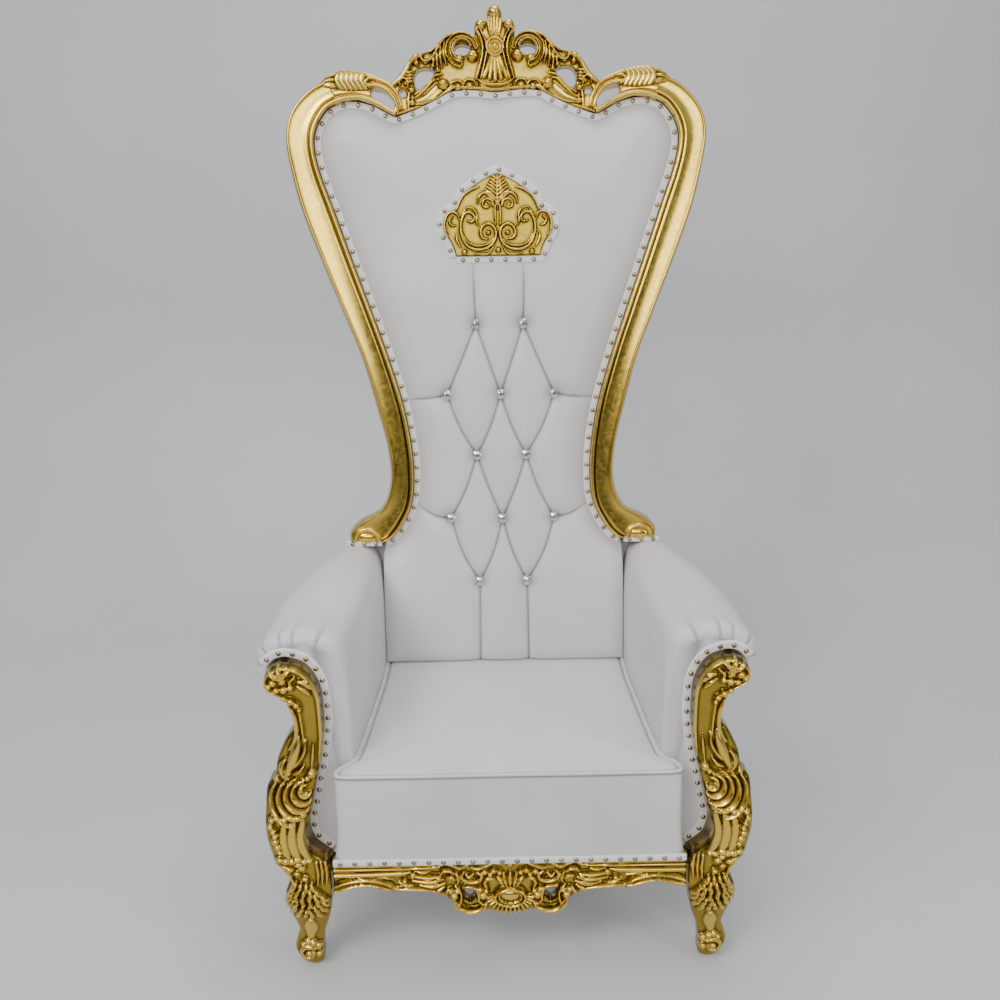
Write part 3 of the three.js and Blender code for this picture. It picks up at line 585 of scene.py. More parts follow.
def nail_metal():
    """Pale nickel with a gold cast, lightly scratched."""
    material, nodes, links, shader = new_material("nail_metal")
    shader.inputs["Metallic"].default_value = 1.0
    cloud = noise(nodes, links, 120, 3)
    colour = ramp(nodes, links, cloud.outputs["Fac"], [(0.3, (0.30, 0.25, 0.16)), (0.7, (0.50, 0.44, 0.32))])
    links.new(colour.outputs["Color"], shader.inputs["Base Color"])
    rough = ramp(nodes, links, cloud.outputs["Fac"], [(0.3, 0.16), (0.7, 0.30)])
    links.new(rough.outputs["Color"], shader.inputs["Roughness"])
    return material


def crystal():
    """Cut crystal over a silvered back: glass-clear gloss on a bright metal ground."""
    material, nodes, links, shader = new_material("crystal")
    cloud = noise(nodes, links, 300, 2)
    colour = ramp(nodes, links, cloud.outputs["Fac"], [(0.3, (0.36, 0.38, 0.42)), (0.7, (0.86, 0.88, 0.92))])
    links.new(colour.outputs["Color"], shader.inputs["Base Color"])
    shader.inputs["Metallic"].default_value = 0.85
    shader.inputs["Roughness"].default_value = 0.08
    shader.inputs["Coat Weight"].default_value = 1.0
    shader.inputs["Coat Roughness"].default_value = 0.02
    return material


def plain(name, colour, roughness, mottle=0.06):
    """A floor or backdrop colour with a faint mottling."""
    material, nodes, links, shader = new_material(name)
    cloud = noise(nodes, links, 1.3, 4)
    darker = tuple(channel * (1 - mottle) for channel in colour)
    tint = ramp(nodes, links, cloud.outputs["Fac"], [(0.35, darker), (0.65, colour)])
    links.new(tint.outputs["Color"], shader.inputs["Base Color"])
    shader.inputs["Roughness"].default_value = roughness
    return material


GOLD = gold_leaf()
LEATHER = white_leather()
BRAID = white_braid()
NAIL = nail_metal()
CRYSTAL = crystal()


# The stiles and shoulders of the back

def arc(centre, radius, start, end, count):
    """Points on an arc between two angles in degrees."""
    angle = np.radians(np.linspace(start, end, count))
    return np.stack([centre[0] + radius * np.cos(angle), centre[1] + radius * np.sin(angle)], axis=1)


def stile_profile(width):
    """Across from the inner edge, and depth: a bead, a groove, the broad face, a fine ridge and a
    sloping side."""
    fit = min(1.0, width / 50)
    edge = width - 9 * fit
    near = arc((3.6 * fit, STILE_BEAD + 4.2), 3.6 * fit, 180, 350, 9)
    groove = np.array([[7.8, -18], [8.9, -14.6], [10.4, -15.4]]) * [fit, 1]
    across = np.linspace(12 * fit, edge - 5.6 * fit, 9)
    face = STILE_FACE - 3 + 1.6 * np.sin(np.pi * np.linspace(0, 1, 9))
    far = arc((edge - 2.2 * fit, STILE_BEAD + 7.2), 2.6 * fit, 190, 330, 7)
    side = [[edge + 2.4 * fit, -13], [edge + 6.2 * fit, 0], [width - 0.5, 13], [width, STILE_REAR - 3],
            [width - 3, STILE_REAR]]
    return np.vstack([[[0, STILE_REAR], [0, 0]], near, groove, np.stack([across, face], axis=1), far, side])


# Painted shade at each place of the stile's profile, from its inner wall to its outer side: darkest in the
# groove beside the bead, lightest on the bead and the broad face.
STILE_SHADE = np.concatenate([[0.5, 0.3], np.zeros(9), [0.5, 0.9, 0.6], [0.25], np.full(7, 0.08), [0.3],
                              [0.4, 0.16, 0.09, 0.09, 0.09, 0.16, 0.3], [0.12, 0.1, 0.1, 0.2, 0.3]])


def carry(stations, profile_at):
    """Rings of a moulding: at each station the profile is laid from the inner edge towards the outer one."""
    rings = []
    for inner_x, inner_v, outer_x, outer_v in stations:
        width = math.hypot(outer_x - inner_x, outer_v - inner_v)
        profile = profile_at(width)
        share = profile[:, 0] / width
        rings.append(on_back(inner_x + share * (outer_x - inner_x), profile[:, 1],
                             inner_v + share * (outer_v - inner_v)))
    return np.array(rings)


def band_profile(width):
    """A scroll band: two half-round rims with a hollow between, standing on the frame's rear."""
    rim = min(4.0, width * 0.2)
    left = arc((rim, STILE_BEAD + rim), rim, 180, 350, 8)
    right = arc((width - rim, STILE_BEAD + rim), rim, 190, 360, 8)
    across = np.linspace(2 * rim + 0.5, width - 2 * rim - 0.5, 7)
    dip = STILE_BEAD + 5 + 4 * np.sin(np.pi * (across - across[0]) / (across[-1] - across[0]))
    return np.vstack([[[0, STILE_REAR]], left, np.stack([across, dip], axis=1), right, [[width, STILE_REAR]]])


def bead_profile(width):
    """A single half-round bead on a straight wall."""
    return np.vstack([[[0, STILE_REAR]], arc((width / 2, STILE_BEAD + width / 2), width / 2, 180, 360, 13),
                      [[width, STILE_REAR]]])


SHOULDER_BAND = [
    [304, 948, 306, 972], [284, 946, 286, 972], [262, 942, 256, 966], [240, 939, 234, 957],
    [224, 931, 213, 946], [210, 914, 198, 926], [204, 896, 190, 900],
]
SHOULDER_BEAD = [
    [330, 909, 334, 919], [310, 915, 311, 926], [286, 917, 285, 928], [262, 911, 258, 922],
    [240, 902, 235, 911], [224, 893, 220, 901], [208, 885, 204, 893],
]
SHOULDER_WEB = [
    [330, 916, 340, 950], [310, 920, 312, 952], [290, 921, 290, 952], [268, 917, 266, 948],
    [258, 914, 257, 944],
]


def web_profile(width):
    """A plain board, set back behind the beads."""
    return np.array([[0, STILE_REAR], [0, -16], [1, -17.5], [width - 1, -17.5], [width, -16],
                     [width, STILE_REAR]])


def foot_scroll(centre, radius):
    """The stile's foot: a smooth half dome, cos(a) high at radius r sin(a), in a half-round ring."""
    turn = np.radians(np.linspace(0, 180, 25))
    around = np.radians(np.linspace(0, 360, 17)[:-1])
    size = 4.6
    ring = radius + size * np.cos(around)[None, :]
    rim = on_back(centre[0] + ring * np.cos(turn)[:, None],
                  STILE_BEAD + 5 - size * np.sin(around)[None, :] + 0 * turn[:, None],
                  centre[1] + ring * np.sin(turn)[:, None])
    tilt = np.radians(np.linspace(2, 90, 12))[:, None]
    ball = radius - size
    angle = np.radians(np.linspace(0, 360, 41)[:-1])[None, :]
    dome = on_back(centre[0] + ball * np.sin(tilt) * np.cos(angle),
                   STILE_FACE + 1 - 8 * np.cos(tilt) + 0 * angle,
                   centre[1] + 0.5 * ball + 0.62 * ball * np.sin(tilt) * np.sin(angle) - 4)
    return joined([loft(rim), loft(dome)])


def make_stiles():
    """Stiles and shoulders: each profile is carried along its own curve on the back, then mirrored."""
    whole = np.array(smooth_curve(STILE, 12))
    cut = np.argmax((whole[:, 0] < 322) & (whole[:, 1] > 800))
    parts = [
        loft(carry(whole[:cut], stile_profile)),
        loft(carry(smooth_curve(SHOULDER_BAND, 10), band_profile)),
        loft(carry(smooth_curve(SHOULDER_BEAD, 10), bead_profile)),
        loft(carry(smooth_curve(SHOULDER_WEB, 8), web_profile)),
        foot_scroll((301, -9), 27),
    ]
    points, faces = joined(parts + [mirrored_part(part) for part in parts])
    # Painted shade across the stile's profile; the shoulders and the feet get none.
    shade = np.zeros(len(points) // 2)
    shade[:cut * len(STILE_SHADE)] = np.tile(STILE_SHADE, cut)
    return add_piece("stiles", points, faces, GOLD, "gold_leaf", values={"hollow": np.tile(shade, 2)})


def make_shoulder_carving():
    """Crescents that overlap along the shoulder, a curl beside them and a leaf that lies on the
    stile's face."""
    outer = smooth_curve([[358, 952], [344, 964], [326, 970], [300, 974], [270, 969], [248, 961]], 6)
    inner = smooth_curve([[242, 946], [256, 936], [284, 933], [310, 934], [332, 938], [350, 940]], 6)
    patch = Relief(np.vstack([outer, inner]), [], 1.0)
    for index in range(6):
        x = 266 + index * 10
        patch.stroke([[x - 6, 972], [x + 5, 962], [x + 7, 950], [x - 2, 936]], 14, 9, shape=rounded,
                     level=1 + index * 0.4, ends=(0.7, 0.6))
    patch.stroke([[256, 940, 0.6], [266, 948, 1], [259, 957, 1], [247, 956, 0.6]], 8, 10, shape=rounded)
    patch.stroke([[318, 966, 0.7], [330, 966, 1], [344, 960, 0.4]], 9, 8)
    patch.stroke([[322, 956, 0.7], [338, 955, 1], [356, 951, 0.3]], 9, 8)
    patch.stroke([[322, 945, 0.8], [338, 946, 1], [354, 946, 0.3]], 11, 7, shape=leafy)

    def place(x, z, height):
        return on_back(x, STILE_FACE - 3 - height, z)

    def rear(x, z):
        return on_back(x, STILE_FACE + 6 + 0 * x, z)

    points, faces, hollow = patch.solid(place, rear, 3)
    part = (points, [tuple(face) for face in faces])
    points, faces = joined([part, mirrored_part(part)])
    values = {"hollow": np.concatenate([hollow, hollow])}
    return close_rear(add_piece("shoulder_carving", points, faces, GOLD, "gold_leaf", values=values))


def spiral(x, z, start_radius, end_radius, start_angle, sweep, steps=9):
    """A volute's path: the radius shrinks evenly with the angle, and the band narrows with it."""
    t = np.linspace(0, 1, steps)
    radius = start_radius + (end_radius - start_radius) * t
    angle = np.radians(start_angle + sweep * t)
    return np.stack([x + radius * np.cos(angle), z + radius * np.sin(angle), 1 - 0.45 * t], axis=1)


def make_crest():
    """The crest: the highest of all its strokes and balls at each place, raised from its leaning face."""
    half = np.vstack([smooth_curve(CREST_LOWER, 6), smooth_curve(CREST_UPPER, 4)])
    holes = [smooth_curve(hole + hole[:1], 4)[:-1] for hole in (SCROLL_HOLE, SIDE_HOLE, SMALL_HOLE)]
    carving = Relief(both_sides(half), holes + [mirror(hole) for hole in holes], 1.05)
    twice, boss = carving.twice, carving.boss
    # mouldings over the pad, with the smooth scooped band between them
    twice([[0, 935], [30, 938], [56, 939], [84, 941], [98, 932], [112, 920], [132, 910], [150, 904],
           [172, 900],
           [204, 890]], 6, 8, ends=(1, 0.8))
    twice([[80, 946, 0.5], [94, 940, 1], [110, 926, 1], [130, 916, 1], [150, 910, 1], [166, 908, 0.6]], 5, 7)
    twice([[108, 966, 0.5], [124, 962, 1], [137, 951, 1], [150, 937, 1], [166, 927, 0.8]], 6, 13)
    twice([[116, 957, 0.5], [128, 954, 1], [142, 939, 1], [156, 927, 1], [166, 921, 0.7]], 5, 10)
    twice([[112, 946, 0.9], [126, 934, 1], [142, 922, 0.9], [164, 914, 0.6]], 22, 4,
          shape=lambda u, s: 0.45 + 0.55 * np.abs(u)**2)
    # lip and balls
    twice([[36, 954, 0.5], [24, 946, 0.9], [10, 943, 1], [0, 943, 1]], 7, 16)
    twice([[30, 944, 0.6], [14, 936, 1], [0, 935, 1]], 6, 12)
    for x, v in ((53, 943), (79, 941)):
        twice([[x - 14, v - 1, 0.6], [x - 9, v + 9, 1], [x, v + 12, 1], [x + 9, v + 9, 1],
               [x + 14, v - 1, 0.6]], 5, 9)
    for x, v, radius in ((53, 942, 8), (77, 940, 7.5), (65, 934, 5.5), (108, 946, 11.5), (173, 936, 7),
                         (171, 921, 4.5), (172, 911, 7), (173, 896, 7.5), (25, 961, 7.5), (185, 949, 4.5)):
        boss(x, v, radius, radius + 5, twice=True)
    # cartouche
    for edge, width, height in ((0, 6.5, 19), (-8, 5, 15)):
        twice([[39 + edge, 1052, 0.7], [30 + edge, 1036, 1], [25 + edge, 1018, 1], [26 + edge, 1000, 1],
               [31 + edge, 980, 1], [38 + edge, 956, 0.7]], width, height)
    carving.stroke([[0, 950, 0.95], [0, 975, 0.8], [0, 1005, 0.62], [0, 1030, 0.66], [0, 1062, 0.82]], 76, 8,
                   shape=flat_topped)
    for place in (-2, -1, 0, 1, 2):
        reach = abs(place)
        carving.stroke([[place * 4.6, 998, 0.5], [place * 8, 976, 0.9], [place * 11.5, 953 + reach * 3, 1]],
                       10.5, 9, level=7)
        carving.stroke([[place * 3.6, 1036, 0.5], [place * 5.4, 1050, 0.9],
                        [place * 6.4, 1074 - reach * 3, 0.9]],
                       8, 9, level=7)
    boss(0, 1016, 20, 4, level=9)
    carving.ring(0, 1016, 17, 5, 6, level=11)
    carving.ring(0, 1016, 11.5, 3.4, 4, level=11)
    boss(0, 1016, 6.5, 9, level=11)
    boss(0, 1084, 14.5, 17)
    boss(29, 1059, 12.5, 18, twice=True)
    # scroll beside it, with two balls in its mouth
    ring = arc((67, 1012), 29, 170, -78, 15)
    twice(np.column_stack([ring, np.linspace(0.7, 1, 15)]), 13, 15, shape=scroll)
    inner = arc((67, 1013), 20, 160, -75, 11)
    twice(np.column_stack([inner, np.full(11, 1.0)]), 5, 12)
    boss(46, 1001, 12.5, 17, twice=True)
    boss(73, 995, 9.5, 15, twice=True)
    twice([[46, 1042, 0.5], [72, 1046, 1], [98, 1038, 1], [116, 1022, 1], [130, 1011, 0.9],
           [144, 1008, 0.4]], 7, 12)
    # acanthus and its curled tail
    for x, top, low in ((103, 1028, 984), (110, 1024, 978), (117, 1016, 976), (124, 1006, 980)):
        twice([[x, top, 0.4], [x + 2, 0.5 * (top + low), 1], [x - 1 + (x - 110) * 0.3, low, 0.4]], 8.5, 14)
    twice([[106, 1030, 0.5], [116, 1016, 1], [126, 1000, 1], [136, 991, 1], [145, 990, 1], [151, 997, 0.9],
           [149, 1004, 0.5]], 6.5, 18)
    for x, v, radius in ((153, 1003, 7.5), (163, 999, 8), (161, 988, 6.5), (118, 974, 5.5), (128, 982, 5.5)):
        boss(x, v, radius, radius + 7, twice=True)
    # bar down to the shoulder, ribbed collar and curl
    twice([[166, 1000, 0.7], [176, 988, 1], [184, 972, 1], [196, 958, 0.9], [212, 946, 0.7]], 15, 15)
    for index in range(4):
        twice([[168, 972 - index * 6, 0.6], [176, 969 - index * 6, 1], [186, 970 - index * 6, 0.5]], 6.5, 15)
    twice([[180, 940, 0.6], [180, 952, 1], [188, 959, 1], [197, 953, 1], [196, 944, 0.6]], 6, 14)
    twice([[178, 932, 0.6], [180, 916, 0.8], [180, 900, 0.6]], 9, 8)

    def place(x, z, height):
        return on_back(x, CREST_FACE - height, z)

    def rear(x, z):
        return on_back(x, STILE_REAR + 0 * x, z)

    points, faces, hollow = carving.solid(place, rear, 5)
    piece = add_piece("crest", points, faces, GOLD, "gold_leaf", replaces=("back_frame",),
                      values={"hollow": hollow})
    return close_rear(piece)


# The crown plaque

def make_plaque():
    """The crown plaque: scrolls and a leaf raised on a flat ground that lies on the pad."""
    edge = both_sides(smooth_curve(PLAQUE_EDGE[:-1], 4).tolist() + [PLAQUE_EDGE[-1]])
    carving = Relief(edge, [], 0.9)
    twice, boss = carving.twice, carving.boss
    twice([[4.5, 700, 0.8], [5.5, 682, 1], [4.5, 662, 0.8]], 5, 6.5)
    carving.stroke([[0, 692, 0.4], [0, 720, 1], [0, 760, 0.5]], 5, 6.5)
    for index in range(7):
        rise = 706 + index * 7.6
        reach = 29 - index * 3
        leaf = [[1, rise, 0.7], [reach * 0.5, rise + reach * 0.42, 1], [reach, rise + reach * 0.72, 0.4]]
        twice(leaf, 6, 6.5)
    twice([[84, 692, 0.6], [80, 706, 1], [70, 721, 1], [54, 732, 1], [38, 737, 0.5]], 5.5, 6)
    twice([[3, 702, 0.6], [6, 716, 1], [16, 725, 1], [29, 725, 1], [38, 717, 1], [41, 704, 0.5]], 6, 7.5)
    twice(spiral(22, 703, 13, 6, 190, -330, 10), 6.5, 7)
    boss(23, 702, 4.5, 6.5, twice=True)
    loop = [[22, 633], [32, 636], [36, 646], [32, 658], [20, 664], [8, 657], [4, 643], [9, 627], [24, 615],
            [44, 612], [62, 619], [73, 635], [77, 655], [74, 674], [66, 686], [55, 686], [48, 677], [53, 668],
            [62, 670]]
    twice(np.column_stack([loop, np.concatenate([[0.6], np.ones(16), [0.8, 0.6]])]), 6.5, 8)
    twice(np.column_stack([loop[6:15], np.ones(9)]) + [-0.6, 7.5, 0], 4, 6)
    boss(20, 646, 5, 7, twice=True)
    twice([[40, 660, 0.5], [44, 668, 1], [43, 682, 0.9], [50, 694, 0.9], [64, 697, 0.5]], 5, 6)
    twice([[79, 672, 0.6], [84, 684, 1], [95, 688, 1], [105, 681, 1], [110, 667, 1], [109, 651, 1],
           [103, 640, 0.5]], 5.5, 7.5)
    twice([[88, 661, 0.6], [96, 662, 1], [100, 671, 1], [94, 678, 0.8]], 5.5, 7.5)
    twice([[84, 652, 0.4], [86, 634, 1], [78, 618, 0.6]], 6, 5, shape=leafy)
    twice([[8, 622, 0.4], [18, 606, 1], [34, 603, 1], [50, 605, 0.5]], 4.5, 5)
    boss(0, 611, 5.5, 8)
    boss(70, 608, 5.5, 8, twice=True)
    ground = PAD_CROWN - 7.3

    def place(x, z, height):
        return on_back(x, ground - height, z)

    def rear(x, z):
        return on_back(x, PAD_CROWN + 6 + 0 * x, z)

    # ground: painted shade on the plaque's low ground between the strokes.
    points, faces, hollow = carving.solid(place, rear, 2.5, ground=0.55)
    piece = add_piece("plaque_carving", points, faces, GOLD, "gold_leaf", replaces=("plaque",),
                      values={"hollow": hollow})
    return close_rear(piece)


# Posts, with the front legs

def post_table(z):
    """Inner edge, outer edge and front face of the post at heights, from the smooth curve of its stations."""
    table = smooth_curve(POST, 8)
    order = np.argsort(table[:, 0])
    return [np.interp(z, table[order, 0], table[order, k]) for k in (1, 2, 3)]


def make_posts():
    """A post and leg: strokes raised on a ground that is hollow by 7 (2 share - 1)^2 from side to side."""
    table = smooth_curve(POST, 8)
    inner, outer = table[:, [1, 0]], table[:, [2, 0]]
    carving = Relief(np.vstack([outer, inner[::-1]]), [], 1.45)
    stroke, boss = carving.stroke, carving.boss
    # narrow edge of the hollow face
    stroke([[344, 452, 0.5], [342, 478, 1], [339, 515, 1], [338, 560, 1], [339, 594, 1], [344, 616, 1],
            [355, 637, 1], [370, 651, 1], [388, 657, 1], [406, 655, 1], [422, 645, 1], [430, 630, 1],
            [426, 616, 1], [412, 606, 0.9], [396, 598, 0.6]], 6, 8)
    # fan, balls and lobes of the head
    for middle, tip in (([391, 648], [382, 656]), ([401, 649], [403, 659]), ([411, 645], [419, 652])):
        stroke([[398, 636, 0.5], [*middle, 1], [*tip, 0.6]], 12, 14)
    for x, z, radius in ((397, 634, 8), (414, 631, 8), (423, 622, 6), (384, 620, 7), (396, 617, 8),
                         (409, 616, 7),
                         (398, 598, 7), (386, 592, 8), (376, 584, 7), (372, 574, 5)):
        boss(x, z, radius, radius + 5)
    stroke([[368, 634, 0.6], [357, 630, 1], [349, 619, 0.5]], 12, 12)
    stroke([[370, 624, 0.6], [360, 617, 1], [351, 606, 0.5]], 12, 12)
    stroke([[376, 640, 0.6], [384, 632, 1], [382, 622, 0.5]], 8, 10)
    # hollow neck: an outer rim and two long lines
    stroke([[392, 584, 0.5], [384, 566, 1], [380, 542, 1], [383, 516, 1], [396, 494, 0.5]], 9, 9)
    stroke([[375, 584, 0.6], [372, 556, 1], [370, 524, 1], [370, 496, 0.6]], 5, 6)
    stroke([[352, 512, 0.4], [354, 486, 1], [358, 456, 0.6]], 6, 7)
    # curled leaf bud
    stroke([[377, 520, 0.3], [382, 498, 0.9], [391, 474, 1], [402, 450, 0.7]], 20, 15)
    stroke([[404, 476, 0.5], [412, 462, 1], [409, 447, 1], [400, 438, 0.6]], 11, 14)
    stroke([[366, 512, 0.4], [369, 490, 1], [379, 472, 1], [389, 460, 0.7]], 8, 11)
    stroke([[372, 462, 0.5], [380, 452, 1], [390, 447, 0.7]], 9, 12)
    boss(358, 446, 9.5, 13)
    boss(367, 437, 6, 10)
    boss(424, 436, 7, 9)
    # nested crescents
    for index, (start, end) in enumerate(((95, -150), (85, -125), (66, -108), (50, -92), (36, -78))):
        line = arc((370 + 3 * index, 416 - 4 * index), 9 + 10.5 * index, start, end, 9)
        stroke(np.column_stack([line, [0.6, 0.8, 1, 1, 1, 1, 1, 0.8, 0.5]]), 10.5, 11, shape=lapped, level=1)
    for x, z in ((376, 371), (387, 366), (399, 368), (411, 364), (424, 367), (435, 362)):
        boss(x, z, 7, 12)
    # fluted swelling with a chain of balls
    for x, width in ((381, 17), (397, 19), (413, 17)):
        stroke([[x - 2, 358, 0.6], [x + 3, 324, 1], [x, 292, 1], [x - 6, 276, 0.6]], width, 9)
    for x, z, radius in ((438, 350, 7), (433, 340, 6), (430, 330, 6), (431, 319, 8), (427, 306, 8),
                         (424, 295, 6)):
        boss(x, z, radius, 13)
    stroke([[366, 306, 0.5], [358, 292, 1], [347, 281, 0.8], [342, 270, 0.5]], 12, 12)
    # flower band over the knee
    for x, z, radius in ((428, 274, 7), (416, 272, 8), (404, 272, 7), (394, 276, 8), (394, 264, 7),
                         (382, 270, 6),
                         (372, 270, 5), (388, 255, 7), (412, 251, 8), (421, 256, 6), (399, 240, 6),
                         (385, 227, 6)):
        boss(x, z, radius, radius + 5, stretch=1.25)
    for x in (345, 353, 361):
        stroke([[x, 262, 0.6], [x - 1, 235, 1], [x + 2, 208, 0.5]], 6.5, 7)
    stroke([[424, 246, 0.5], [414, 232, 1], [410, 212, 0.5]], 9, 9)
    # knee leaves
    for row, places in ((206, (372, 384, 396, 408)), (193, (364, 377, 390, 403, 414)),
                        (180, (354, 367, 380, 394, 407, 418)), (166, (352, 365, 379, 393, 407, 418)),
                        (152, (357, 370, 384, 398, 411)), (140, (366, 379, 391, 403))):
        for x in places:
            lean = 0.34 * (x - 385)
            stroke([[x - 0.5 * lean, row + 8, 0.5], [x, row, 1], [x + lean, row - 9, 0.5]], 11, 13)
    boss(384, 120, 7, 9)
    # shank and toe
    stroke([[384, 124, 0.4], [386, 100, 1], [388, 76, 0.6]], 26, 6)
    stroke(spiral(394, 36, 19, 8, 130, -330, 9), 11, 9)
    for x, z, radius in ((394, 38, 8), (384, 62, 8), (395, 66, 7), (373, 54, 8), (374, 34, 8), (404, 58, 6)):
        boss(x, z, radius, radius + 3)

    def place(x, z, height):
        near, far, front = post_table(z)
        share = np.clip((x - near) / (far - near), 0, 1)
        swell = 7 * (2 * share - 1)**2 + np.where(z > 430, 5 * np.sin(np.pi * share)**2, 0)
        return upright(x, front + 8 + swell - height, z)

    def rear(x, z):
        return upright(x, ARM_FRONT_Y - 0.3, z)

    # ground: painted shade on the post's low ground between the strokes.
    points, faces, hollow = carving.solid(place, rear, 5, ground=0.34)
    part = (points, [tuple(face) for face in faces])
    right = add_piece("post_carving_right", *part, GOLD, "gold_leaf", replaces=("post_right",),
                      values={"hollow": hollow})
    left = add_piece("post_carving_left", *mirrored_part(part), GOLD, "gold_leaf", replaces=("post_left",),
                     values={"hollow": hollow})
    return [close_rear(right), close_rear(left)]


# Front rail

def make_apron():
    """The front rail: mouldings, leaves, volutes and a shell raised on a flat upright face."""
    top = SEAT_RAIL_TOP_Z - 0.5
    half = np.vstack([[[APRON_HALF, top]], evenly(smooth_curve(APRON_LOWER, 4), 3)[::-1]])
    hole = smooth_curve([[77, 148], [88, 158], [89, 172], [80, 184], [69, 178], [66, 164], [77, 148]], 5)[:-1]
    carving = Relief(both_sides(half), [hole, mirror(hole)], 1.35)
    twice, boss = carving.twice, carving.boss
    twice([[334, 238], [240, 238], [150, 240], [126, 242]], 14, 9, shape=scroll, ends=(1, 0.5))
    twice([[334, 219], [250, 220], [205, 222], [186, 226]], 11, 8, ends=(1, 0.4))
    twice([[335, 190, 1], [318, 197, 1], [300, 202, 1], [272, 205, 1], [250, 201, 1], [234, 194, 1],
           [222, 188, 0.6]], 16, 12, shape=scroll)
    twice([[220, 208, 0.5], [236, 212, 1], [262, 213, 0.5]], 6, 6)
    # leaf cluster
    twice([[216, 188, 0.5], [196, 189, 1], [168, 187, 1], [142, 182, 0.5]], 9, 12)
    for root, middle, tip, width in (
        ([124, 200], [146, 194], [172, 196], 11), ([128, 208], [152, 204], [186, 206], 11),
        ([132, 216], [156, 214], [190, 218], 10), ([126, 192], [138, 184], [150, 178], 10),
        ([186, 196], [198, 198], [212, 204], 10), ([118, 186], [124, 176], [130, 172], 9),
    ):
        twice([[*root, 0.5], [*middle, 1], [*tip, 0.35]], width, 12)
    twice([[106, 222, 0.6], [114, 229, 1], [126, 229, 0.9], [130, 221, 0.5]], 9, 13)
    twice([[150, 228, 0.4], [164, 226, 1], [180, 228, 0.4]], 8, 11)
    twice([[104, 206, 0.5], [110, 214, 1], [120, 213, 0.6]], 9, 13)
    for x, z, radius in ((136, 211, 7), (142, 200, 6), (184, 221, 7), (200, 206, 6)):
        boss(x, z, radius, radius + 6, twice=True)
    # waves under the braid
    twice([[124, 245, 0.5], [108, 240, 1], [96, 234, 0.9], [84, 240, 1], [76, 245, 0.5]], 8, 11)
    twice([[74, 234, 0.5], [60, 232, 1], [46, 238, 1], [30, 244, 0.5]], 8, 11)
    boss(0, 240, 7, 11)
    # volutes and the band round the openings
    twice([[47, 152, 0.7], [53, 142, 1], [66, 136, 1], [80, 135, 1], [94, 140, 1], [104, 151, 1],
           [108, 162, 0.6]],
          13, 15)
    twice([[99, 146, 0.6], [95, 156, 1], [93, 170, 1], [96, 184, 1], [104, 192, 0.6]], 6, 12)
    twice([[54, 150, 0.6], [60, 160, 1], [61, 172, 1], [66, 188, 1], [78, 192, 1], [90, 190, 0.6]], 6, 12)
    for x, z, radius in ((107, 170, 9), (101, 181, 7), (113, 182, 7), (52, 171, 9), (58, 184, 7),
                         (46, 180, 6),
                         (20, 222, 6), (31, 226, 6.5), (38, 217, 6), (48, 224, 7)):
        boss(x, z, radius, radius + 6, twice=True)
    twice([[44, 186, 0.5], [48, 200, 1], [42, 210, 1], [32, 208, 0.6]], 9, 13)
    twice([[62, 224, 0.6], [54, 216, 1], [58, 206, 1], [70, 202, 1], [84, 205, 1], [92, 214, 1],
           [88, 224, 0.6]],
          9, 12)
    twice([[70, 220, 0.6], [78, 213, 1], [84, 219, 0.6]], 8, 11)
    twice([[100, 198, 0.6], [98, 208, 1], [102, 220, 0.6]], 8, 11)
    for place in (-2, -1, 0, 1, 2):
        carving.stroke([[place * 6, 190, 0.5], [place * 9, 203, 1], [place * 12, 222 - abs(place) * 5, 0.5]],
                       10, 13)
    # ribbed shell and the oval in it
    for index in range(15):
        angle = math.radians(182 + index * 12.6)
        x, z = math.cos(angle), math.sin(angle)
        carving.stroke([[33 * x, 166 + 24 * z, 0.6], [43 * x, 166 + 36 * z, 1]], 8, 10)
    carving.ring(0, 167, 19, 5, 15, stretch=1.5)
    carving.ring(0, 167, 14.5, 3, 12, stretch=1.5)
    boss(0, 167, 14, 10, stretch=1.55)

    def place(x, z, height):
        return upright(x, APRON_FACE_Y - height, z)

    def rear(x, z):
        return upright(x, APRON_FACE_Y + 25, z)

    # ground: painted shade on the rail's low ground between the strokes.
    points, faces, hollow = carving.solid(place, rear, 4, ground=0.3)
    piece = add_piece("apron_carving", points, faces, GOLD, "gold_leaf", replaces=("apron",),
                      values={"hollow": hollow})
    return close_rear(piece)


# Padded back

def inner_edge():
    """The frame's inner edge from the right foot over the top to the left foot."""
    stile = smooth_curve([row[:2] for row in STILE], 8)
    top = smooth_curve(CREST_LOWER, 8)[::-1][1:]
    right = np.vstack([stile, top])
    return np.vstack([right, mirror(right[:-1])[::-1]])


CREASES = [
    [[50, 460], [84, 380], [115, 311]], [[50, 460], [27, 390], [0, 311]], [[115, 311], [88, 240], [53, 180]],
    [[0, 311], [24, 240], [53, 180]], [[53, 180], [80, 104], [113, 41]], [[53, 180], [30, 112], [0, 40]],
    [[113, 41], [88, -36], [52, -101]], [[0, 40], [22, -36], [52, -101]],
    [[50, 460], [52, 520], [53, 592]], [[52, -101], [53, -170], [54, -282]],
    [[115, 311], [150, 305], [204, 300]], [[113, 41], [150, 48], [200, 76]],
]


# Where the crown of the pad meets the cushion, as a height on the back.
PAD_FOOT = (SEAT_TOP_Z + 2 - PIVOT_Z + PAD_CROWN * math.sin(LEAN)) / math.cos(LEAN)


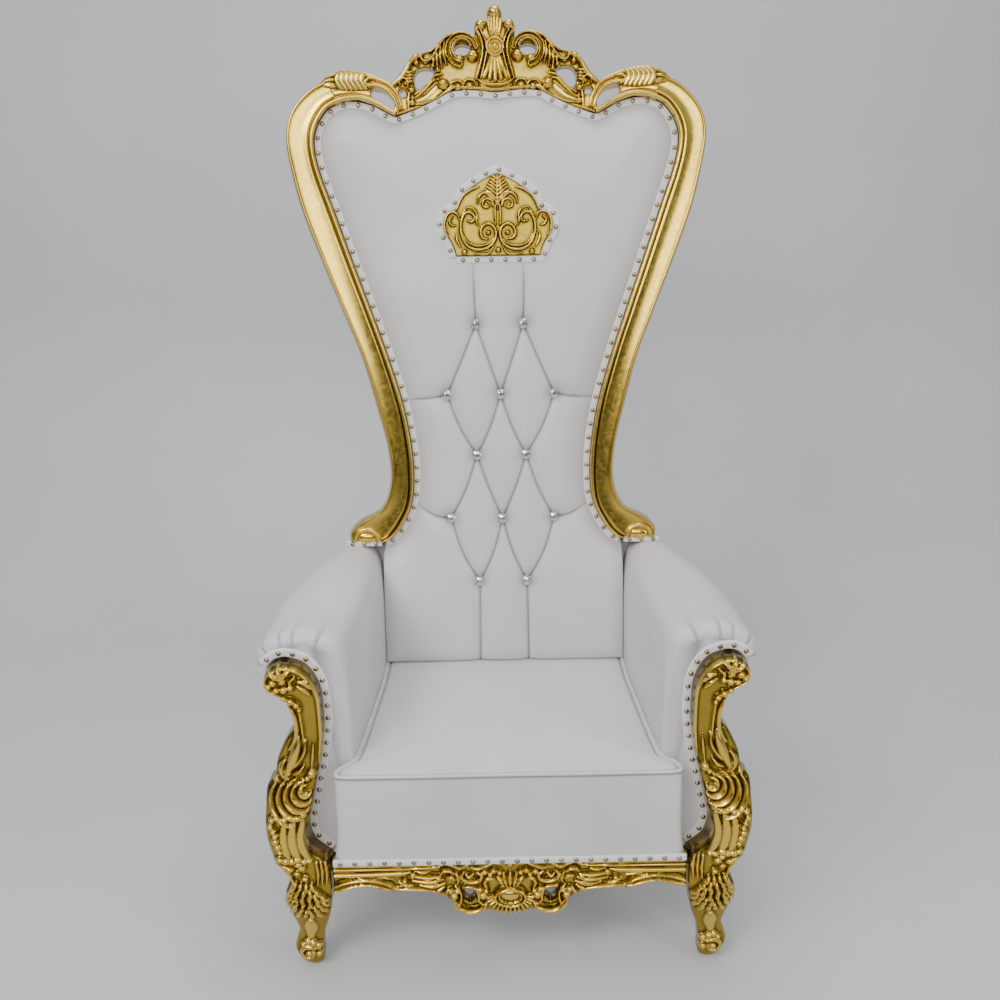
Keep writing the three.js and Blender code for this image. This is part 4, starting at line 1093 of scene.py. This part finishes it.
def make_back_pad():
    """The pad: 4 + 34 (1 - exp(-inset / 46)) deep from the frame in, less the creases and the dimples."""
    edge = evenly(inner_edge(), 6)
    line = edge[:, :2] + normals_of(edge) * 0.8
    foot = np.array([[PAD_HALF, PAD_FOOT], [PAD_HALF, -120], [PAD_HALF, -40]])
    outline = np.vstack([foot, line, mirror(foot)[::-1]])
    pad = Relief(outline, [], 2.4)
    inset = measure(pad.x, pad.z, line)[0]
    crown = 34 * (1 - np.exp(-np.clip(inset - BRAID_WIDTH, 0, None) / 46))
    side = np.clip(1 - np.clip(pad.edge, 0, 34) / 34, 0, 1)**2 * (pad.z < -20)
    tufted = 1 / (1 + np.exp((pad.z - 560) / 24)) * np.clip(inset / 60, 0, 1)
    gap = np.full(pad.x.shape, 1e9)
    for crease in CREASES:
        for path in (np.array(crease, float), mirror(crease)):
            bend = smooth_curve(path, 6)
            area = pad.window(bend.min(0) - 70, bend.max(0) + 70)
            gap[area] = np.minimum(gap[area], measure(pad.x[area], pad.z[area], bend)[0])
    dimple = np.full(pad.x.shape, 1e9)
    for x, z in BUTTONS:
        dimple = np.minimum(dimple, np.hypot(pad.x - x, pad.z - z))
    puff = 9.5 * (1 - np.exp(-gap / 15)) - 2.5 * np.exp(-gap / 1.6)
    sink = 13 * np.exp(-(dimple / 17)**1.5)
    pad.height = np.maximum(crown + tufted * puff - sink * (inset > 20) - 11 * side, 0)
    # Painted shade: darker along the tufting creases, in the button dimples and near the frame's braid.
    crease = np.exp(-(gap / 2.2)**2) * np.clip(tufted * 1.4, 0, 1) + 0.55 * np.exp(-(dimple / 17)**2)
    crease += 0.3 * np.exp(-np.clip(inset - BRAID_WIDTH, 0, None) / 9)
    depths = [PAD_EDGE - pad.height.flat[np.hypot(pad.x - x, pad.z - z).argmin()] for x, z in BUTTONS]

    def place(x, z, height):
        return on_back(x, PAD_EDGE - height, z)

    def rear(x, z):
        return on_back(x, STILE_REAR - 2 + 0 * x, z)

    points, faces, marks = pad.solid(place, rear, 3, mark=crease)
    piece = add_piece("padded_back", points, faces, LEATHER, "white_leather", replaces=("back_pad",),
                      values={"crease": marks})
    close_rear(piece)
    return depths


def strip(near, far, low, high, place):
    """A flat braid between two edges: a low arch across its width, closed below."""
    across = np.array([0, 0.0, 0.08, 0.3, 0.5, 0.7, 0.92, 1.0, 1.0])
    rise = np.array([0, 0.55, 0.9, 1.0, 0.92, 1.0, 0.9, 0.55, 0])
    rings = []
    for k, part in enumerate(across):
        flat = near + (far - near) * part
        rings.append(place(flat[:, 0], low + (high - low) * rise[k], flat[:, 1]))
    points, faces = loft(np.swapaxes(np.array(rings), 0, 1))
    length = np.concatenate([[0], np.cumsum(np.linalg.norm(np.diff(near, axis=0), axis=1))])
    uv = np.stack(np.meshgrid(length * MM, across * BRAID_WIDTH * MM, indexing="ij"), axis=-1).reshape(-1, 2)
    return points, faces, uv


def nail_places(path, pitch, start=0.5):
    """Places at the pitch along a path, centred on it."""
    length = np.concatenate([[0], np.cumsum(np.hypot(*np.diff(path, axis=0).T))])
    count = max(1, int(round(length[-1] / pitch)))
    at = (np.arange(count) + start) * length[-1] / count
    return np.stack([np.interp(at, length, path[:, k]) for k in (0, 1)], axis=1)


def nail_domes(places, depth, place, radius=5.3):
    """Domed nail heads: rings at radii r cos(a) and heights r sin(a) over a short straight rim."""
    ring = np.radians(np.linspace(0, 360, 11)[:-1])
    profile = [(1.0, 1.2), (1.0, 0.4), (0.88, -0.9), (0.6, -2.1), (0.25, -2.7)]
    parts = []
    for x, z in places:
        rings = [place(x + radius * r * np.cos(ring), depth + rise + 0 * ring, z + radius * r * np.sin(ring))
                 for r, rise in profile]
        parts.append(loft(np.array(rings)))
    return joined(parts)


def make_back_trim():
    """Braid along the frame's inner edge and under the stiles' feet, and the nails through it."""
    path = evenly(inner_edge(), 5)
    normal = normals_of(path)
    near, far = path + normal * 1.0, path + normal * (1.0 + BRAID_WIDTH)
    points, faces, uv = strip(near, far, PAD_EDGE + 1, PAD_EDGE - BRAID_RISE, on_back)
    under = evenly([[346, -9], [268, -9]], 6)
    foot_points, foot_faces, foot_uv = strip(under, under - [0, 12], STILE_FACE + 3, STILE_FACE - 3, on_back)
    parts = [(points, faces), (foot_points, foot_faces), mirrored_part((foot_points, foot_faces))]
    points, faces = joined(parts)
    add_piece("braid_back", points, faces, BRAID, "white_braid", replaces=("trim_back",),
              uv=np.vstack([uv, foot_uv, foot_uv]))
    middle = path + normal * (1.0 + BRAID_WIDTH / 2)
    below = nail_domes(nail_places(under - [0, 6], POST_PITCH), STILE_FACE - 3.1, on_back)
    return joined([nail_domes(nail_places(middle, BACK_PITCH), PAD_EDGE - NAIL_RISE, on_back), below,
                   mirrored_part(below)])


def make_plaque_trim():
    """Braid round the plaque, between its outline and a line a braid's width outside it."""
    edge = both_sides(smooth_curve(PLAQUE_EDGE[:-1], 4).tolist() + [PLAQUE_EDGE[-1]])
    start = np.argmin(edge[:, 1] + 0.001 * edge[:, 0])
    loop = np.roll(edge, -start, axis=0)
    path = evenly(np.vstack([loop, loop[:1]]), 4)
    normal = normals_of(path)
    centre = path.mean(0)
    outward = np.sign(((path - centre) * normal).sum())
    far = path + outward * normal * (BRAID_WIDTH + 1)
    near = path - outward * normal * 1.0
    points, faces, uv = strip(near, far, PAD_CROWN + 4, PAD_CROWN - BRAID_RISE, on_back)
    add_piece("braid_plaque", points, faces, BRAID, "white_braid", replaces=("trim_plaque",), uv=uv)
    middle = path + outward * normal * (BRAID_WIDTH / 2 + 1)
    return nail_domes(nail_places(middle, BACK_PITCH), PAD_CROWN - NAIL_RISE, on_back)


def make_buttons(depths):
    """Cut crystals: three rings of facets, each turned by half a step, round a flat table."""
    sides = 10
    for index, (x, v) in enumerate(BUTTONS):
        base = depths[index] - 8.5
        profile = [(10.8, 9, 0), (12.2, 0, 0), (10.6, -2.8, 0.5), (7.2, -5.0, 0), (3.4, -5.9, 0.5)]
        rings = []
        for radius, rise, turn in profile:
            angle = 2 * math.pi * (np.arange(sides) + turn) / sides
            rings.append(on_back(x + radius * np.cos(angle), base + rise + 0 * angle,
                                 v + radius * np.sin(angle)))
        points, faces = loft(np.array(rings))
        piece = add_piece("crystal_%02d" % (index + 1), points, faces, CRYSTAL, "crystal",
                          replaces=("button_%02d" % (index + 1),))
        piece.data.polygons.foreach_set("use_smooth", np.zeros(len(piece.data.polygons), bool))


# Arms

def rear_y(z):
    """Depth of the rear of the leaning frame at a height."""
    return 170 + (z - PIVOT_Z) * math.tan(LEAN) + STILE_REAR / math.cos(LEAN)


def arm_plan(share):
    """Inner and outer side of the arm from its front, 0, to its rear, 1: the outside sweeps in as
    share^3.2."""
    ease = math.sqrt(max(share, 0)) * 0.4 + share * 0.6
    return 290 + (PAD_HALF + 1 - 290) * min(1, ease * 1.25), 451 + (360 - 451) * share**3.2


def arm_section(inner, outer):
    """The arm cut across: inner wall, the roll over its top, the undercut and the outer wall."""
    wall = outer - 54
    low = SEAT_RAIL_TOP_Z
    outline = [
        [inner, low], [inner - 1, 380], [inner - 1, 520], [inner, 600], [inner + 5, 648], [inner + 19, 684],
        [inner + 0.42 * (outer - inner), 702], [inner + 0.7 * (outer - inner), 700], [outer - 12, 682],
        [outer + 1, 652], [outer - 3, 616], [outer - 22, 586], [wall + 6, 566], [wall + 1, 540],
        [wall + 2, 400], [wall, low],
    ]
    return evenly(np.vstack([smooth_curve(outline, 8), [[inner, low]]]), 9)


def make_arms():
    """The arm: sections from front to rear, drawn in round the front edge, with short pleats over the
    roll."""
    stations = np.concatenate([[0, 0.3, 1, 2.2, 4, 6.5, 9.5, 13, 17, 22], np.linspace(28, 430, 44)])
    sections, marks = [], []
    for offset in stations:
        share = offset / 430
        ring = arm_section(*arm_plan(share))
        count = 260
        length = np.concatenate([[0], np.cumsum(np.hypot(*np.diff(ring, axis=0).T))])
        places = np.linspace(0, length[-1], count + 1)[:-1]
        ring = np.stack([np.interp(places, length, ring[:, k]) for k in (0, 1)], axis=1)
        closed = np.vstack([ring[-1:], ring, ring[:1]])
        normal = -normals_of(closed)[1:-1]
        if ((ring - ring.mean(0)) * normal).sum() < 0:
            normal = -normal
        height = np.clip((ring[:, 1] - 560) / 100, 0, 1)
        radius = 7 + 11 * height
        inward = np.clip(radius - offset, 0, None)
        draw = radius - np.sqrt(np.clip(radius**2 - inward**2, 0, None))
        swell = 3.5 * height * math.exp(-((offset - 34) / 30)**2)
        angle = np.degrees(np.arctan2(ring[:, 1] - 628, ring[:, 0] - 388))
        pleats = sum(deep * np.exp(-((angle - a - 0.12 * offset) / 2.1)**2)
                     for a, deep in ((14, 0.8), (42, 1), (72, 0.9), (92, 1), (126, 1)))
        fade = math.exp(-(offset / 34)**1.8)
        # Painted shade in the pleats over the front of the roll.
        marks.append(0.8 * fade * pleats * height)
        ring = ring + normal * (swell - draw - 6 * fade * pleats)[:, None]
        ring[:, 1] = np.maximum(ring[:, 1], SEAT_RAIL_TOP_Z + 0.2)
        y = ARM_FRONT_Y + (rear_y(ring[:, 1]) - 1 - ARM_FRONT_Y) * share
        sections.append(upright(ring[:, 0], y, ring[:, 1]))
    part = loft(np.array(sections))
    values = {"crease": np.concatenate(marks)}
    right = add_piece("padded_arm_right", *part, LEATHER, "white_leather",
                      replaces=("arm_right",), values=values)
    left = add_piece("padded_arm_left", *mirrored_part(part), LEATHER, "white_leather",
                     replaces=("arm_left",), values=values)
    return [right, left]


def make_post_trim():
    """Braid beside the post, up its inner edge and over the scroll head, on the front of the arm."""
    table = smooth_curve(POST, 8)
    edge = table[table[:, 0] > SEAT_RAIL_TOP_Z][:, [1, 0]]
    head = smooth_curve([[384, 661], [398, 664], [413, 661], [424, 654], [433, 643]], 6)
    path = evenly(np.vstack([edge[:-1], head]), 5)
    normal = normals_of(path)
    near, far = path - normal * 2.0, path + normal * (BRAID_WIDTH + 0.5)
    points, faces, uv = strip(near, far, ARM_FRONT_Y + 1, ARM_FRONT_Y - BRAID_RISE, upright)
    middle = path + normal * (BRAID_WIDTH / 2)
    nails = nail_domes(nail_places(middle, POST_PITCH), ARM_FRONT_Y - NAIL_RISE, upright)
    add_piece("braid_right", points, faces, BRAID, "white_braid", replaces=("trim_right",), uv=uv)
    left_points, left_faces = mirrored_part((points, faces))
    add_piece("braid_left", left_points, left_faces, BRAID, "white_braid", replaces=("trim_left",), uv=uv)
    return joined([nails, mirrored_part(nails)])


# Seat

def seat_outline():
    """The cushion's plan: straight front, ears before the arms, sides that follow the arms, straight rear."""
    clear = 1.2
    arm = [[arm_plan(share)[0] - 2 * clear, ARM_FRONT_Y + (127 - ARM_FRONT_Y) * share]
           for share in np.linspace(0.02, 0.96, 9)]
    half = [[0, SEAT_FRONT_Y], [150, SEAT_FRONT_Y - 1], [294, SEAT_FRONT_Y], [313, SEAT_FRONT_Y + 3],
            [318, SEAT_FRONT_Y + 12], [317, -332], [308, -316], [294, -306], *arm, [250, 118], [0, 118]]
    return evenly(np.vstack([both_sides(half), half[:1]]), 6)[:-1]


def inset_loop(loop, distance):
    """A closed loop moved inwards along its normals."""
    closed = np.vstack([loop[-1:], loop, loop[:1]])
    normal = normals_of(closed)[1:-1]
    if ((loop - loop.mean(0)) * normal).sum() > 0:
        normal = -normal
    return loop + normal * distance


def make_seat():
    """The cushion: a boxed wall with a rounded top edge, and a top that rises as 1 - share^2 to its crown."""
    outline = seat_outline()
    centre = np.array([0.0, -150.0])
    low, top, radius = SEAT_RAIL_TOP_Z + 0.5, SEAT_TOP_Z, 6
    rings, marks = [], []
    ear = np.clip((np.abs(outline[:, 0]) - 284) / 34, 0, 1)**2
    corner = ear * (outline[:, 1] < -306) * np.sign(outline[:, 0])
    for z in np.concatenate([[low, low + 4], np.linspace(low + 20, top - 22, 10),
                             top + np.arange(-16.0, -5, 2)]):
        share = (z - low) / (top - low)
        loop = inset_loop(outline, (3 if z == low else 0) - 2.5 * math.sin(math.pi * share))
        loop[:, 0] += 11 * corner * max(0, 1 - (z - low) / 80)**1.5
        rings.append((loop, z))
        # Painted shade along the groove 4.4 below the top, under the piping.
        marks.append(math.exp(-((z - top + 4.4) / 1.7)**2))
    for angle in np.radians([10, 22, 45, 67, 90]):
        z = top - radius * (1 - math.sin(angle))
        groove = math.exp(-((z - top + 4.4) / 1.7)**2)
        rings.append((inset_loop(outline, radius * (1 - math.cos(angle)) + 0.8 * groove), z))
        # The same painted shade in the groove on the rounded edge.
        marks.append(groove)
    base = inset_loop(outline, radius)
    shares = np.concatenate([[0.004, 0.010, 0.018, 0.028, 0.042, 0.06], np.linspace(0.09, 0.92, 24), [0.999]])
    for share in shares:
        seam = math.exp(-((share - 0.009) / 0.009)**2)
        rings.append((base + (centre - base) * share, top + 15 * (1 - (1 - share)**2.6) - 2 * seam))
        # Painted shade along the seam just inside the top's edge.
        marks.append(0.9 * seam)
    body = np.array([upright(loop[:, 0], loop[:, 1], z + 0 * loop[:, 0]) for loop, z in rings])
    marks = np.repeat(marks, len(outline))
    points, faces = loft(body)
    cushion = add_piece("padded_seat", points, faces, LEATHER, "white_leather", replaces=("seat_cushion",),
                        values={"crease": marks})
    path = inset_loop(outline, 1.5)
    closed = np.vstack([path[-1:], path, path[:1]])
    normal = normals_of(closed)[1:-1]
    around = np.radians(np.linspace(0, 360, 13)[:-1])
    size = 3.2
    piping = np.array([upright(path[:, 0] + size * math.cos(a) * normal[:, 0],
                               path[:, 1] + size * math.cos(a) * normal[:, 1],
                               top + 0.5 + size * math.sin(a) + 0 * path[:, 0]) for a in around])
    points = np.swapaxes(piping, 0, 1)
    points = np.vstack([points, points[:1]])
    count = len(points) - 1
    faces = [tuple(face % (count * len(around))) for face in grid_faces(count + 1, len(around), closed=True)]
    flat = points[:-1].reshape(-1, 3)
    if volume_sign(flat, faces) < 0:
        faces = [face[::-1] for face in faces]
    add_piece("seat_piping", flat, faces, LEATHER, "white_leather")
    half = 330
    line = evenly([[-half, SEAT_RAIL_TOP_Z + 1], [half, SEAT_RAIL_TOP_Z + 1]], 6)
    upper = line + [0, BRAID_WIDTH]
    strip_points, strip_faces, uv = strip(line, upper, SEAT_FRONT_Y + 2, SEAT_FRONT_Y - BRAID_RISE, upright)
    add_piece("braid_apron", strip_points, strip_faces, BRAID, "white_braid", replaces=("trim_apron",), uv=uv)
    return nail_domes(nail_places(line + [0, BRAID_WIDTH / 2], APRON_PITCH), SEAT_FRONT_Y - NAIL_RISE,
                      upright)


def make_base():
    """The seat frame under the arms, covered in the same leather, with rounded lower edges."""
    rings = []
    for z, inset in ((BASE_BOTTOM_Z + 0.2, 7), (BASE_BOTTOM_Z + 1, 3), (BASE_BOTTOM_Z + 4, 0.5),
                     (BASE_BOTTOM_Z + 20, 0), (SEAT_RAIL_TOP_Z - 1, 0)):
        front, rear = ARM_FRONT_Y + 1 + inset, rear_y(z) - 1 - inset
        side = [[arm_plan(share)[1] - 56 - inset, front + (rear - front) * share]
                for share in np.linspace(0, 1, 17)]
        half = np.array([[0, front], *side, [0, rear]])
        loop = np.vstack([half, mirror(half[1:-1])[::-1], half[:1]])
        length = np.concatenate([[0], np.cumsum(np.hypot(*np.diff(loop, axis=0).T))])
        places = np.linspace(0, length[-1], 181)[:-1]
        even = np.stack([np.interp(places, length, loop[:, k]) for k in (0, 1)], axis=1)
        rings.append(upright(even[:, 0], even[:, 1], z + 0 * even[:, 0]))
    points, faces = loft(np.array(rings))
    add_piece("seat_frame_cover", points, faces, LEATHER, "white_leather", replaces=("seat_base",))


# Outer back and rear legs

def make_back_panel():
    """The outer back: a thin board with softened edges behind the frame."""
    outer = smooth_curve([row[2:] for row in STILE[2:-4]], 6)
    outer = outer + normals_of(outer) * 12
    under_eye = [[x - 3, v + 9] for x, v, *_ in STILE[:-5:-1]]
    top = smooth_curve([[x, v + 12] for x, v in CREST_LOWER[:-1]] + under_eye, 4)[::-1]
    bottom = (BASE_BOTTOM_Z + 2 - PIVOT_Z) / math.cos(LEAN)
    low = [[304, bottom], [304, -160], [312, -140], [330, -112], [344, -90], [350, -50], [334, -18],
           [306, 10]]
    half = np.vstack([low, outer, top])
    panel = Relief(both_sides(half), [], 6.0)
    inset = np.clip(panel.edge, 0, None)
    panel.height = 3.5 * (1 - np.exp(-inset / 40))

    def place(x, z, height):
        return on_back(x, PANEL_FRONT + PANEL_THICK + height, z)

    def rear(x, z):
        return on_back(x, PANEL_FRONT + 0 * x, z)

    points, faces, _ = panel.solid(place, rear, 5)
    piece = add_piece("outer_back", points, faces, LEATHER, "white_leather", replaces=("back_panel",))
    return close_rear(piece)


def make_rear_legs():
    """Square legs with softened corners: the half width shrinks and the path curves rearwards as t^2."""
    box = [Vector(corner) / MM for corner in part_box("rear_leg_right")]
    top_z = box[1][2]
    rings = []
    for t in np.linspace(0, 1, 30):
        half = (62 + (44 - 62) * t) / 2 + 1.5 * math.sin(math.pi * min(1, t * 1.1))
        y = 128 - 62 + 160 * (0.35 * t + 0.65 * t * t)
        x = 262 + 14 * t
        angle = np.radians(np.linspace(0, 360, 41)[:-1])
        corner = (np.abs(np.cos(angle))**5 + np.abs(np.sin(angle))**5)**(-1 / 5)
        rings.append(upright(x + half * corner * np.cos(angle), y + half * corner * np.sin(angle),
                             top_z * (1 - t) + 0 * angle))
    part = loft(np.array(rings))
    values = {"hollow": np.zeros(len(part[0]))}
    add_piece("leg_rear_right", *part, GOLD, "gold_leaf", replaces=("rear_leg_right",), values=values)
    add_piece("leg_rear_left", *mirrored_part(part), GOLD, "gold_leaf", replaces=("rear_leg_left",),
              values=values)


# Room, light and camera

def area_light(name, place, aim, size, power, colour=(1, 1, 1)):
    """A soft rectangular light at a place, turned to face its aim."""
    data = bpy.data.lights.new(name, "AREA")
    data.shape = "RECTANGLE"
    data.size, data.size_y = size
    data.energy = power
    data.color = colour
    light = bpy.data.objects.new(name, data)
    light.location = place
    direction = Vector(aim) - Vector(place)
    light.rotation_euler = direction.to_track_quat("-Z", "Y").to_euler()
    bpy.context.scene.collection.objects.link(light)


def make_room():
    """A pale floor that runs up into a backdrop through a wide curve."""
    profile = [[-16, 0], [1.2, 0]]
    bend = [[1.2 + 1.0 * math.sin(a), 1.0 - 1.0 * math.cos(a)] for a in np.radians(np.linspace(6, 90, 15))]
    line = np.array(profile + bend + [[2.2, 9]])
    xs = np.linspace(-18, 18, 3)
    points = np.array([[x, y, z] for y, z in line for x in xs])
    mesh = bpy.data.meshes.new("floor")
    mesh.from_pydata(points.tolist(), [], grid_faces(len(line), len(xs)).tolist())
    mesh.polygons.foreach_set("use_smooth", np.ones(len(mesh.polygons), bool))
    mesh.materials.append(plain("floor_grey", (0.60, 0.605, 0.625), 0.6))
    floor = bpy.data.objects.new("floor", mesh)
    bpy.context.scene.collection.objects.link(floor)


def make_light():
    """Soft daylight: a world that is dark below and pale above, and four area lights."""
    world = bpy.data.worlds.new("studio")
    bpy.context.scene.world = world
    world.use_nodes = True
    nodes, links = world.node_tree.nodes, world.node_tree.links
    place = nodes.new("ShaderNodeTexCoord")
    split = nodes.new("ShaderNodeSeparateXYZ")
    links.new(place.outputs["Generated"], split.inputs["Vector"])
    height = nodes.new("ShaderNodeMapRange")
    height.inputs["From Min"].default_value = -1
    links.new(split.outputs["Z"], height.inputs["Value"])
    sky = ramp(nodes, links, height.outputs["Result"], [
        (0.35, 0.02), (0.50, 0.08), (0.60, 0.22), (0.80, 0.95),
    ])
    links.new(sky.outputs["Color"], nodes["Background"].inputs["Color"])
    nodes["Background"].inputs["Strength"].default_value = 0.75
    area_light("key", (-1.9, -2.4, 3.4), (0, 0, 0.9), (1.6, 1.2), 80, (1, 0.97, 0.93))
    area_light("window", (-0.4, -4.6, 2.75), (0, 0, 1.2), (3.6, 1.3), 75, (1, 0.99, 0.96))
    area_light("fill", (2.8, -2.0, 1.8), (0, 0, 0.9), (0.8, 2.0), 22, (0.93, 0.96, 1))
    area_light("top", (0.2, 0.3, 4.2), (0, 0.1, 0.6), (2.4, 1.6), 52)


def make_camera():
    """The photograph's view: 987 pixels of focal length for 1000 of width."""
    place = Vector((-0.01440443, -1.9039055 + SHIFT_Y * MM, 1.46603578))
    yaw, pitch, roll = map(math.radians, (-0.2574, 17.859, -0.9396))
    forward = Vector((-math.sin(yaw) * math.cos(pitch), math.cos(yaw) * math.cos(pitch), -math.sin(pitch)))
    side = Vector((math.cos(yaw), math.sin(yaw), 0))
    above = side.cross(forward)
    right = math.cos(roll) * side + math.sin(roll) * above
    up = -math.sin(roll) * side + math.cos(roll) * above
    turn = Matrix((right, up, -forward)).transposed().to_4x4()
    data = bpy.data.cameras.new("camera")
    data.sensor_width = 36
    data.lens = 36 * 0.987456
    camera = bpy.data.objects.new("camera", data)
    camera.matrix_world = Matrix.Translation(place) @ turn
    bpy.context.scene.collection.objects.link(camera)
    bpy.context.scene.camera = camera


make_camera()
make_light()
make_room()
make_stiles()
make_shoulder_carving()
make_crest()
make_plaque()
make_posts()
make_apron()
depths = make_back_pad()
nails = [make_back_trim(), make_plaque_trim(), make_post_trim(), make_seat()]
nail_points, nail_faces = joined(nails)
add_piece("nails", nail_points, nail_faces, NAIL, "gold_leaf")
make_buttons(depths)
make_arms()
make_base()
make_back_panel()
make_rear_legs()
